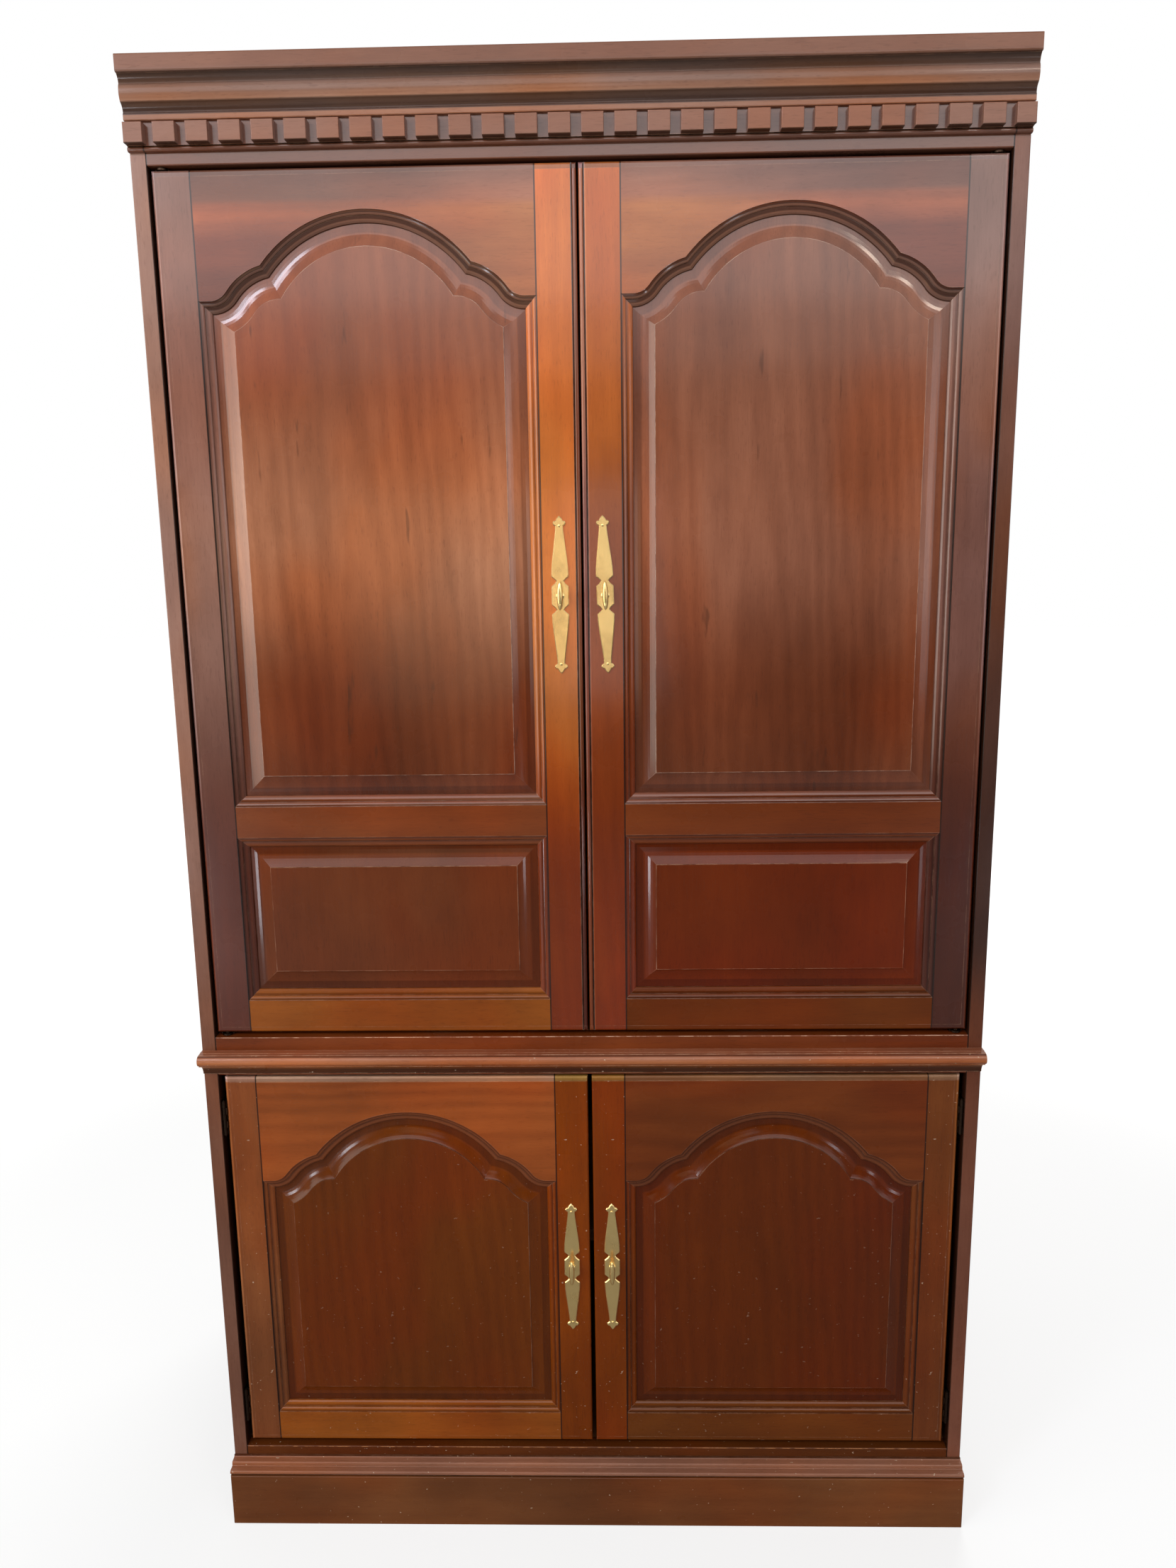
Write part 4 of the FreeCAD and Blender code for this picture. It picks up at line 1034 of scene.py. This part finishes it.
class EditWork:
    """Work on one mesh in edit mode, as a context."""

    def __init__(self, obj: Piece) -> None:
        """Keep the object to work on."""
        self.obj = obj

    def __enter__(self) -> "EditWork":
        """Go into edit mode with nothing selected.

        Returns:
            The work.
        """
        take(self.obj)
        bpy.ops.object.mode_set(mode="EDIT")
        bpy.ops.mesh.select_mode(type="FACE")
        bpy.ops.mesh.select_all(action="DESELECT")
        return self

    def __exit__(self, *_: object) -> None:
        """Go back to object mode."""
        bpy.ops.object.mode_set(mode="OBJECT")

    def pick(self, test: Callable[[Vector, Vector], bool]) -> None:
        """Select faces.

        Args:
            test: Says yes or no to a face's centre and normal.
        """
        bpy.ops.mesh.select_mode(type="FACE")
        mesh = bmesh.from_edit_mesh(self.obj.data)
        for face in mesh.faces:
            face.select_set(bool(test(face.calc_center_median(), face.normal)))
        bmesh.update_edit_mesh(self.obj.data)

    def pick_edges(self, test: Callable[[Vector, Vector], bool]) -> None:
        """Select edges.

        Args:
            test: Says yes or no to an edge's middle and direction.
        """
        bpy.ops.mesh.select_all(action="DESELECT")
        bpy.ops.mesh.select_mode(type="EDGE")
        mesh = bmesh.from_edit_mesh(self.obj.data)
        for edge in mesh.edges:
            a, b = (vert.co for vert in edge.verts)
            edge.select_set(bool(test((a + b) / 2, (b - a).normalized())))
        bmesh.update_edit_mesh(self.obj.data)

    def push(self, by: Point) -> None:
        """Extrude what is selected."""
        bpy.ops.mesh.extrude_region_move(TRANSFORM_OT_translate={"value": by})

    def narrow(self, share: float) -> None:
        """Scale what is selected in X and Z about the origin."""
        bpy.ops.transform.resize(value=(share, 1, share), center_override=ORIGIN)

    def cut(self, at: Point, normal: Point) -> None:
        """Cut the whole mesh by a plane and keep both sides.

        Args:
            at: A point of the plane.
            normal: Its normal.
        """
        bpy.ops.mesh.select_all(action="SELECT")
        bpy.ops.mesh.bisect(plane_co=at, plane_no=normal)
        bpy.ops.mesh.select_all(action="DESELECT")


def add_bevel(obj: Piece, width: float, segments: int = 2) -> None:
    """Round a mesh's sharp edges with an applied modifier.

    Args:
        obj: The piece.
        width: Width of the rounding.
        segments: Faces across it.
    """
    take(obj)
    bevel = obj.modifiers.new("rounding", "BEVEL")
    bevel.width = width
    bevel.segments = segments
    bevel.limit_method = "ANGLE"
    bevel.angle_limit = math.radians(35)
    bpy.ops.object.modifier_apply(modifier=bevel.name)


def smooth(obj: Piece, angle: float = 35.0) -> None:
    """Shade a mesh smooth but for its sharp edges."""
    take(obj)
    bpy.ops.object.shade_smooth_by_angle(angle=math.radians(angle))


def copies(master: Piece, name: str, places: Iterable[Matrix]) -> Piece:
    """Copy a small piece to several places and join the copies.

    Args:
        master: The piece, modelled at the origin.
        name: Name of the joined piece.
        places: Where each copy goes.

    Returns:
        The joined piece.
    """
    made = []
    for place in places:
        copy = master.copy()
        copy.data = master.data.copy()
        copy.data.transform(place)
        bpy.context.scene.collection.objects.link(copy)
        made.append(copy)
    clear_selection()
    for copy in made:
        copy.select_set(True)
    bpy.context.view_layer.objects.active = made[0]
    bpy.ops.object.join()
    made[0].name = name
    made[0].data.name = name
    return made[0]


def fit_out(obj: Piece, body: str, finish: Material) -> None:
    """Finish a new piece and say what it rides on.

    Args:
        obj: The piece.
        body: The body it rides on.
        finish: Its material.
    """
    obj.data.materials.clear()
    obj.data.materials.append(finish)
    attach(obj, body)
    LOG.info("%s on %s", obj.name, body)


def finish_node(node: str, finish: Material) -> None:
    """Put a finish on every material slot of a CAD node.

    Args:
        node: The node.
        finish: Its material.
    """
    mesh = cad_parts[node].data
    if not mesh.materials:
        mesh.materials.append(finish)
    for i in range(len(mesh.materials)):
        mesh.materials[i] = finish


@dataclass
class SmallParts:
    """Nails and screws, each modelled once at the origin with its head towards -Y."""

    nail_r: float = 0.0019
    nail_rise: float = 0.0013
    brad_r: float = 0.0030
    brad_rise: float = 0.0007
    screw_r: float = 0.0033
    screw_t: float = 0.0010
    screw_rise: float = 0.0003
    slot_w: float = 0.0008
    slot_h: float = 0.0011

    def build(self) -> None:
        """Model the masters. They are removed by `clear`."""
        self.nail = self._domed("nail_master", self.nail_r, self.nail_rise)
        self.brad = self._domed("brad_master", self.brad_r, self.brad_rise)
        self.screw = self._screw()

    def clear(self) -> None:
        """Remove the masters."""
        for master in (self.nail, self.brad, self.screw):
            discard(master)

    def _domed(self, name: str, radius: float, rise: float) -> Piece:
        """Model a nail's head with a rim and a domed top.

        Args:
            name: Name of the master.
            radius: The head's radius.
            rise: Its height.

        Returns:
            The master.
        """
        base = 0.3 * rise
        obj = disc(name, radius, base, -base / 2, 20)
        with EditWork(obj) as work:
            work.pick(lambda _, normal: normal.y < -0.9)
            for spread, share in ((0.90, 0.30), (0.76, 0.22), (0.52, 0.14)):
                work.push((0, -share * rise, 0))
                work.narrow(spread)
        smooth(obj, 50)
        return obj

    def _screw(self) -> Piece:
        """Model a countersunk screw head with a crossed recess.

        Returns:
            The master.
        """
        head = disc("screw_master", self.screw_r, self.screw_t, 0, 24)
        with EditWork(head) as work:
            work.pick(lambda _, normal: normal.y < -0.9)
            work.push((0, -self.screw_rise, 0))
            work.narrow(0.86)
        for turn in (0.0, math.pi / 2):
            cutter = block("slot_cutter", (0, -self.screw_t * 0.8, 0),
                           (self.slot_w, self.slot_h, 1.2 * self.screw_r), (0, turn, 0))
            take(head)
            recess = head.modifiers.new("recess", "BOOLEAN")
            recess.operation = "DIFFERENCE"
            recess.solver = "EXACT"
            recess.object = cutter
            bpy.ops.object.modifier_apply(modifier=recess.name)
            discard(cutter)
        return head


class Joiner:
    """Hands out the finishes and small parts, and counts the boards."""

    def __init__(self) -> None:
        """Make the finishes and small parts that many pieces share."""
        self.board = 0
        self.brass = Hardware.BRASS.dress()
        self.bronze = Hardware.BRONZE.dress()
        self.steel = Hardware.STEEL.dress()
        self.back = Hardware.BACK.dress()
        self.plastic = Hardware.PLASTIC.dress()
        self.parts = SmallParts()
        self.parts.build()

    def wood(self, node: str, stain: Cherry, grain: Grain,
             outline: Box | None = None) -> None:
        """Finish one CAD board, with a figure that no other board has.

        Args:
            node: The board.
            stain: Its stain.
            grain: Which way its grain runs.
            outline: Lowest and highest corner of its door.
        """
        self.board += 1
        board = Board(node, grain, self.board, outline)
        finish_node(node, CherrySheet(stain, board).dress())
        LOG.info("%s", node)


@dataclass
class Case:
    """The carcass: boards, mouldings, back, shelves and slides."""

    joiner: Joiner
    back_y: float = 0.3185
    brad_gap: float = 0.118
    brad_inset: float = 0.009
    brad_end: float = 0.012
    brad_sunk: float = 0.0002

    def dress(self) -> None:
        """Finish the case's boards and hardware."""
        across = {
            "base_rail": Stain.BASE, "base_cap": Stain.CAP, "plinth_front": Stain.PLINTH,
            "waist_rail": Stain.WAIST, "waist_moulding": Stain.NOSE,
            "frieze_rail": Stain.FRIEZE, "dentil_backer": Stain.FRIEZE,
            "dentil_blocks": Stain.DENTIL, "crown_moulding": Stain.CROWN,
            "top_board": Stain.CROWN, "plinth_back": Stain.INNER,
            "lower_deck": Stain.INNER, "waist_deck": Stain.INNER,
            "lower_shelf": Stain.INNER, "upper_shelf": Stain.INNER,
        }
        for node, stain in across.items():
            self.joiner.wood(node, stain, Grain.ACROSS)
        for hand, stain in zip(Hand, (Stain.SIDE_LEFT, Stain.SIDE_RIGHT)):
            self.joiner.wood(f"side_panel_{hand.word}", stain, Grain.UPRIGHT)
            self.joiner.wood(f"pocket_partition_{hand.word}", Stain.INNER, Grain.UPRIGHT)
            finish_node(f"door_carriage_{hand.word}", self.joiner.bronze)
            # a carriage uses up a number, on which the figure of later boards depends
            self.joiner.board += 1
        for finish, nodes in ((self.joiner.back, ("lower_back", "upper_back")),
                              (self.joiner.steel, ("pocket_slides", "shelf_pins")),
                              (self.joiner.bronze, ("hinge_leaves_frame",))):
            for node in nodes:
                finish_node(node, finish)

    def build(self) -> None:
        """Add the brads that hold the back boards."""
        for node in ("lower_back", "upper_back"):
            low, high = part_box(node)
            x = high.x - self.brad_inset
            z0, z1 = low.z + self.brad_end, high.z - self.brad_end
            rows, columns = (round(reach / self.brad_gap) for reach in (z1 - z0, 2 * x))
            spots = [(side * x, z0 + (z1 - z0) * i / rows)
                     for i in range(rows + 1) for side in (-1, 1)]
            spots += [(-x + 2 * x * i / columns, z)
                      for i in range(1, columns) for z in (z0, z1)]
            places = [Facing.BACK.at(px, self.back_y - self.brad_sunk, pz)
                      for px, pz in spots]
            brads = copies(self.joiner.parts.brad, f"{node}_brads", places)
            fit_out(brads, "case", self.joiner.steel)


@dataclass
class Catch:
    """Magnetic catch that stands on a deck behind a door, with its strike plate."""

    door: "Door"
    off_middle: float = 0.085
    width: float = 0.046
    depth: float = 0.022
    foot_h: float = 0.0030
    foot_r: float = 0.005
    block_w: float = 0.027
    block_h: float = 0.0125
    pole_w: float = 0.022
    pole_t: float = 0.0012
    pole_off: float = 0.0032
    pole_up: float = 0.0008
    pole_reach: float = 0.0012
    pole_dent: float = 0.0002
    screw_back: float = 0.001
    screw_sunk: float = 0.0001
    strike_w: float = 0.038
    strike_h: float = 0.014
    strike_t: float = 0.0012
    strike_r: float = 0.0055
    strike_up: float = 0.008
    air: float = 0.0004

    def build(self) -> None:
        """Model the catch on the case and the strike plate on the door."""
        joiner = self.door.joiner
        self.name = f"{self.door.level.word}_{self.door.hand.word}"
        self.x = self.door.hand.value * self.off_middle
        self.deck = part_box(self.door.level.value)[1].z
        self.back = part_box(self.door.node("rail_low"))[1].y
        self.front = self.back + self.strike_t + self.air
        fit_out(self._housing(), "case", joiner.plastic)
        fit_out(self._poles(), "case", joiner.steel)
        ear = (self.width + self.block_w) / 4
        screw_y = self.front + self.depth / 2 + self.screw_back
        places = [Facing.UP.at(self.x + side * ear, screw_y, self.deck + self.foot_h)
                  for side in (-1, 1)]
        screws = copies(joiner.parts.screw, f"catch_screws_{self.name}", places)
        fit_out(screws, "case", joiner.steel)
        middle = self.deck + self.strike_up + self.strike_h / 2
        fit_out(self._strike(middle), self.door.body, joiner.steel)
        place = Facing.BACK.at(self.x, self.back + self.strike_t - self.screw_sunk, middle)
        screw = copies(joiner.parts.screw, f"strike_screw_{self.name}", [place])
        fit_out(screw, self.door.body, joiner.steel)

    def _housing(self) -> Piece:
        """Model the plastic body: a foot with two ears and the block between them.

        Returns:
            The piece.
        """
        x, half = self.x, self.block_w / 2
        centre = (x, self.front + self.pole_reach + self.depth / 2,
                  self.deck + self.foot_h / 2)
        obj = block(f"catch_{self.name}", centre, (self.width, self.depth, self.foot_h))
        with EditWork(obj) as work:
            work.cut((x - half, 0, 0), (1, 0, 0))
            work.cut((x + half, 0, 0), (1, 0, 0))
            work.pick(lambda c, n: n.z > 0.9 and abs(c.x - x) < half)
            work.push((0, 0, self.block_h - self.foot_h))
            work.pick_edges(lambda m, d: abs(d.z) > 0.9 and m.z < self.deck + self.foot_h
                            and abs(abs(m.x - x) - self.width / 2) < 0.0005)
            bpy.ops.mesh.bevel(offset=self.foot_r, segments=4, affect="EDGES")
        add_bevel(obj, 0.0006)
        smooth(obj)
        return obj

    def _poles(self) -> Piece:
        """Model the two steel pole plates that stand out of the block's front.

        Returns:
            The piece.
        """
        plate = block("pole_master", (0, -self.pole_reach / 2, 0),
                      (self.pole_w, self.pole_reach, self.pole_t))
        with EditWork(plate) as work:
            work.pick(lambda _, n: n.y < -0.9)
            bpy.ops.mesh.inset(thickness=0.0003, depth=self.pole_dent)
        add_bevel(plate, 0.0002, 1)
        y = self.front + self.pole_reach + self.pole_dent
        middle = self.deck + self.block_h / 2 + self.pole_up
        places = [Facing.FRONT.at(self.x, y, middle + side * self.pole_off)
                  for side in (-1, 1)]
        poles = copies(plate, f"catch_poles_{self.name}", places)
        discard(plate)
        smooth(poles)
        return poles

    def _strike(self, middle: float) -> Piece:
        """Model the strike plate on the door's back.

        Args:
            middle: Height of its middle.

        Returns:
            The piece.
        """
        plate = block(f"strike_{self.name}", (self.x, self.back + self.strike_t / 2, middle),
                      (self.strike_w, self.strike_t, self.strike_h))
        with EditWork(plate) as work:
            work.pick_edges(lambda m, d: abs(d.y) > 0.9)
            bpy.ops.mesh.bevel(offset=self.strike_r, segments=6, affect="EDGES")
        add_bevel(plate, 0.0003, 1)
        smooth(plate)
        return plate


@dataclass
class Pull:
    """Brass plate and grip of one door, with the two nails that hold the plate."""

    door: "Door"
    lean_deg: float
    nail_out: float = 0.0896

    def build(self) -> None:
        """Finish the plate and the grip, and drive the nails."""
        joiner = self.door.joiner
        for piece in ("plate", "grip"):
            finish_node(self.door.node(piece), joiner.brass)
        low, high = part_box(self.door.node("plate"))
        centre = (low + high) / 2
        lean = math.radians(self.lean_deg)
        places = [Facing.FRONT.at(centre.x - out * math.sin(lean), low.y,
                                  centre.z + out * math.cos(lean))
                  for out in (-self.nail_out, self.nail_out)]
        nails = copies(joiner.parts.nail, self.door.node("plate_nails"), places)
        fit_out(nails, self.door.body, joiner.brass)


@dataclass
class Door:
    """One door with its boards, pull and catch."""

    joiner: Joiner
    level: Level
    hand: Hand
    right_lean_deg: float = 1.6

    @property
    def body(self) -> str:
        """Name of the door's body."""
        return f"{self.level.word}_door_{self.hand.word}"

    def node(self, piece: str) -> str:
        """Name of one of the door's nodes or pieces."""
        return f"{self.level.word}_{piece}_{self.hand.word}"

    def outline(self) -> Box:
        """Lowest and highest corner of the door's frame."""
        corners = [*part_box(self.node("stile_outer")), *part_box(self.node("stile_meet"))]
        return Vector(map(min, zip(*corners))), Vector(map(max, zip(*corners)))

    def dress(self) -> None:
        """Finish the door's boards."""
        outline = self.outline()
        for piece, (grain, left, right) in DOOR_BOARDS[self.level].items():
            stain = left if self.hand is Hand.LEFT else right
            self.joiner.wood(self.node(piece), stain, grain, outline)

    def build(self) -> None:
        """Add the pull, whose plate leans on one door, and the catch."""
        leans = self.level is Level.UPPER and self.hand is Hand.RIGHT
        Pull(self, self.right_lean_deg if leans else 0.0).build()
        Catch(self).build()


@dataclass
class HingedDoor(Door):
    """A short door on two hinges, whose leaves and screws it finishes too."""

    hinge_levels: tuple[float, ...] = (0.651, 0.182)
    screw_out: tuple[float, ...] = (-0.018, 0.0, 0.018)
    pin_x: float = 0.52675
    screw_off_pin: float = 0.0021
    screw_y: float = -0.2745

    def dress(self) -> None:
        """Finish the door's boards and hinge leaves."""
        super().dress()
        finish_node(f"hinge_leaves_door_{self.hand.word}", self.joiner.bronze)

    def build(self) -> None:
        """Add the pull, the catch and the screws of the hinges."""
        super().build()
        side = self.hand.value
        inward, outward = Facing.RIGHT, Facing.LEFT
        if self.hand is Hand.RIGHT:
            inward, outward = outward, inward
        rows = (("case", "case", self.screw_off_pin, inward),
                ("door", self.body, -self.screw_off_pin, outward))
        for leaf, body, off, facing in rows:
            places = [facing.at(side * (self.pin_x + off), self.screw_y, z + step)
                      for z in self.hinge_levels for step in self.screw_out]
            screws = copies(self.joiner.parts.screw, f"hinge_screws_{leaf}_{self.hand.word}",
                            places)
            fit_out(screws, body, self.joiner.bronze)


# studio


@dataclass(frozen=True)
class SoftBox:
    """Flat area lamp that looks at a point; one that isn't `mirrored` leaves no glare."""

    name: str
    place: Point
    aim: Point
    size: tuple[float, float]
    power: float
    tint: Colour = (1.0, 1.0, 1.0)
    mirrored: bool = True

    def build(self) -> None:
        """Hang the lamp."""
        lamp = bpy.data.lights.new(self.name, "AREA")
        lamp.shape = "RECTANGLE"
        lamp.size, lamp.size_y = self.size
        lamp.energy = self.power
        lamp.color = self.tint
        obj = bpy.data.objects.new(self.name, lamp)
        obj.visible_glossy = self.mirrored
        bpy.context.scene.collection.objects.link(obj)
        way = Vector(self.aim) - Vector(self.place)
        obj.matrix_world = (Matrix.Translation(self.place)
                            @ way.to_track_quat("-Z", "Y").to_matrix().to_4x4())


LAMPS = (
    SoftBox("sky_lamp", (0.0, -5.2, 4.1), (0.0, -0.3, 1.6), (7.0, 2.8), 112.0,
            (0.97, 0.98, 1.0)),
    SoftBox("upper_left_lamp", (-2.03, -2.7, 3.12), (-0.2, -0.3, 1.5), (0.8, 0.8), 33.0,
            (0.80, 0.85, 1.0)),
    SoftBox("upper_right_lamp", (1.6, -2.9, 3.3), (0.0, -0.3, 1.3), (0.8, 0.25), 9.0,
            (1.0, 0.84, 0.68)),
    SoftBox("window_lamp", (-3.1, -2.0, 1.6), (-0.1, -0.3, 1.2), (2.8, 2.3), 54.0,
            (0.96, 1.0, 0.90)),
    SoftBox("low_left_lamp", (-1.84, -2.9, 0.2), (0.0, -0.3, 0.7), (0.35, 0.35), 10.0,
            (0.88, 0.92, 1.0)),
    SoftBox("low_right_lamp", (1.75, -3.1, 0.2), (0.0, -0.3, 0.7), (0.3, 0.3), 3.4,
            (0.88, 0.92, 1.0)),
    SoftBox("fill_lamp", (3.0, -3.0, 1.6), (0.0, -0.3, 1.0), (1.6, 1.6), 10.0,
            (0.90, 0.95, 1.0)),
    SoftBox("far_card", (-0.75, -5.0, 1.22), (-0.1, -0.3, 1.4), (1.2, 1.1), 5.0,
            (1.0, 0.68, 0.42)),
    SoftBox("plate_card", (0.03, -5.0, 1.25), (0.0, -0.3, 1.3), (0.5, 1.1), 2.2),
    SoftBox("back_lamp", (1.2, 3.6, 3.0), (0.0, 0.3, 1.0), (2.4, 2.4), 120.0,
            mirrored=False),
)


@dataclass(frozen=True)
class Camera:
    """The photograph's camera: a phone held at eye height, tipped a little down."""

    place: Point = (0.0414, -1.8498, 1.4419)
    down_deg: float = 11.053
    turn_deg: float = -1.390
    roll_deg: float = 0.776
    focal_px: float = 1662.0
    long_side_px: float = 2212.0
    sensor_mm: float = 36.0

    def build(self) -> None:
        """Set the camera up and make it the scene's own."""
        down, turn, roll = (math.radians(a) for a in
                            (self.down_deg, self.turn_deg, self.roll_deg))
        level = Vector((math.cos(turn), -math.sin(turn), 0.0))
        ahead = Vector((math.sin(turn), math.cos(turn), 0.0))
        forward = ahead * math.cos(down) + Vector((0, 0, -math.sin(down)))
        upward = ahead * math.sin(down) + Vector((0, 0, math.cos(down)))
        right = level * math.cos(roll) - upward * math.sin(roll)
        top = level * math.sin(roll) + upward * math.cos(roll)
        data = bpy.data.cameras.new("camera")
        data.sensor_width = self.sensor_mm
        data.lens = self.focal_px / self.long_side_px * self.sensor_mm
        data.clip_start, data.clip_end = 0.05, 60.0
        obj = bpy.data.objects.new("camera", data)
        bpy.context.scene.collection.objects.link(obj)
        axes = Matrix((right, top, -forward)).transposed().to_4x4()
        obj.matrix_world = Matrix.Translation(self.place) @ axes
        bpy.context.scene.camera = obj


@dataclass
class Studio:
    """Pale floor, white surroundings and soft lamps."""

    floor_size: float = 40.0
    floor_colour: Colour = (0.32, 0.32, 0.317)
    floor_lift: float = 0.70
    open_from: float = 1.3
    open_to: float = 3.2
    flag_place: Point = (0, -5.2, 1.2)
    flag_size: Point = (9.0, 2.4, 1.0)
    flag_colours: tuple[Colour, Colour] = ((0.10, 0.08, 0.07), (0.14, 0.11, 0.10))
    ambient: float = 0.30

    def build(self) -> None:
        """Set up the floor, the world, the lamps and the camera."""
        self._floor()
        self._flag()
        self._world()
        for lamp in LAMPS:
            lamp.build()
        Camera().build()
        bpy.context.scene.view_settings.view_transform = "Standard"

    def _floor(self) -> None:
        """Lay the floor, which shows white in the open and keeps its shadows."""
        clear_selection()
        bpy.ops.mesh.primitive_plane_add(size=self.floor_size, location=ORIGIN)
        floor = settle(bpy.context.object, "studio_floor")
        sheet = FinishSheet("studio_floor")
        tone = sheet.mix(self.floor_colour, tuple(0.98 * c for c in self.floor_colour),
                         sheet.noise(sheet.place, Pattern(0.8, 2.0)))
        diffuse = sheet.add("BsdfDiffuse", {"Color": tone})
        away = sheet.add("VectorMath", {0: sheet.place}, operation="LENGTH")
        lift = sheet.span(away.outputs["Value"], self.open_from, self.open_to,
                          self.floor_lift, 1.0)
        seen = sheet.add("LightPath").outputs["Is Camera Ray"]
        glow = sheet.add("Emission", {"Strength": sheet.times(seen, lift)})
        both = sheet.add("AddShader", {0: diffuse.outputs[0], 1: glow.outputs[0]})
        sheet.add("OutputMaterial", {"Surface": both.outputs[0]})
        floor.data.materials.append(sheet.material)

    def _flag(self) -> None:
        """Stand a dark cloth behind the camera, so that the wood keeps its depth."""
        clear_selection()
        bpy.ops.mesh.primitive_plane_add(size=1, rotation=(math.pi / 2, 0, 0),
                                         location=self.flag_place)
        flag = bpy.context.object
        flag.scale = self.flag_size
        settle(flag, "studio_flag")
        sheet = FinishSheet("studio_flag")
        cloth = sheet.mix(*self.flag_colours, sheet.noise(sheet.place, Pattern(3.0)))
        weave = sheet.relief(sheet.noise(sheet.place, Pattern(40.0)), 0.01, 0.3)
        flag.data.materials.append(sheet.close(cloth, 0.9, weave))
        flag.visible_camera = False

    def _world(self) -> None:
        """White where it is seen or mirrored, and a level light everywhere else."""
        world = bpy.data.worlds.new("studio")
        bpy.context.scene.world = world
        world.use_nodes = True
        sheet = NodeSheet(world.node_tree)
        path = sheet.add("LightPath").outputs
        seen: Socket = path["Is Camera Ray"]
        for ray in ("Is Glossy Ray", "Is Transmission Ray"):
            seen = sheet.math("MAXIMUM", seen, path[ray])
        light, white = (sheet.add("Background", {"Color": SAME, "Strength": strength})
                        for strength in (self.ambient, 1.0))
        choice = sheet.add("MixShader", {0: seen, 1: light.outputs[0],
                                         2: white.outputs[0]})
        sheet.add("OutputWorld", {"Surface": choice.outputs[0]})


def main() -> None:
    """Build the pieces in order."""
    logging.basicConfig(level=logging.INFO, format="%(name)s: %(message)s")
    joiner = Joiner()
    case = Case(joiner)
    case.dress()
    case.build()
    for kind, level in ((Door, Level.UPPER), (HingedDoor, Level.LOWER)):
        for hand in Hand:
            door = kind(joiner, level, hand)
            door.dress()
            door.build()
    joiner.parts.clear()
    Studio().build()


if __name__ == "__main__":
    main()
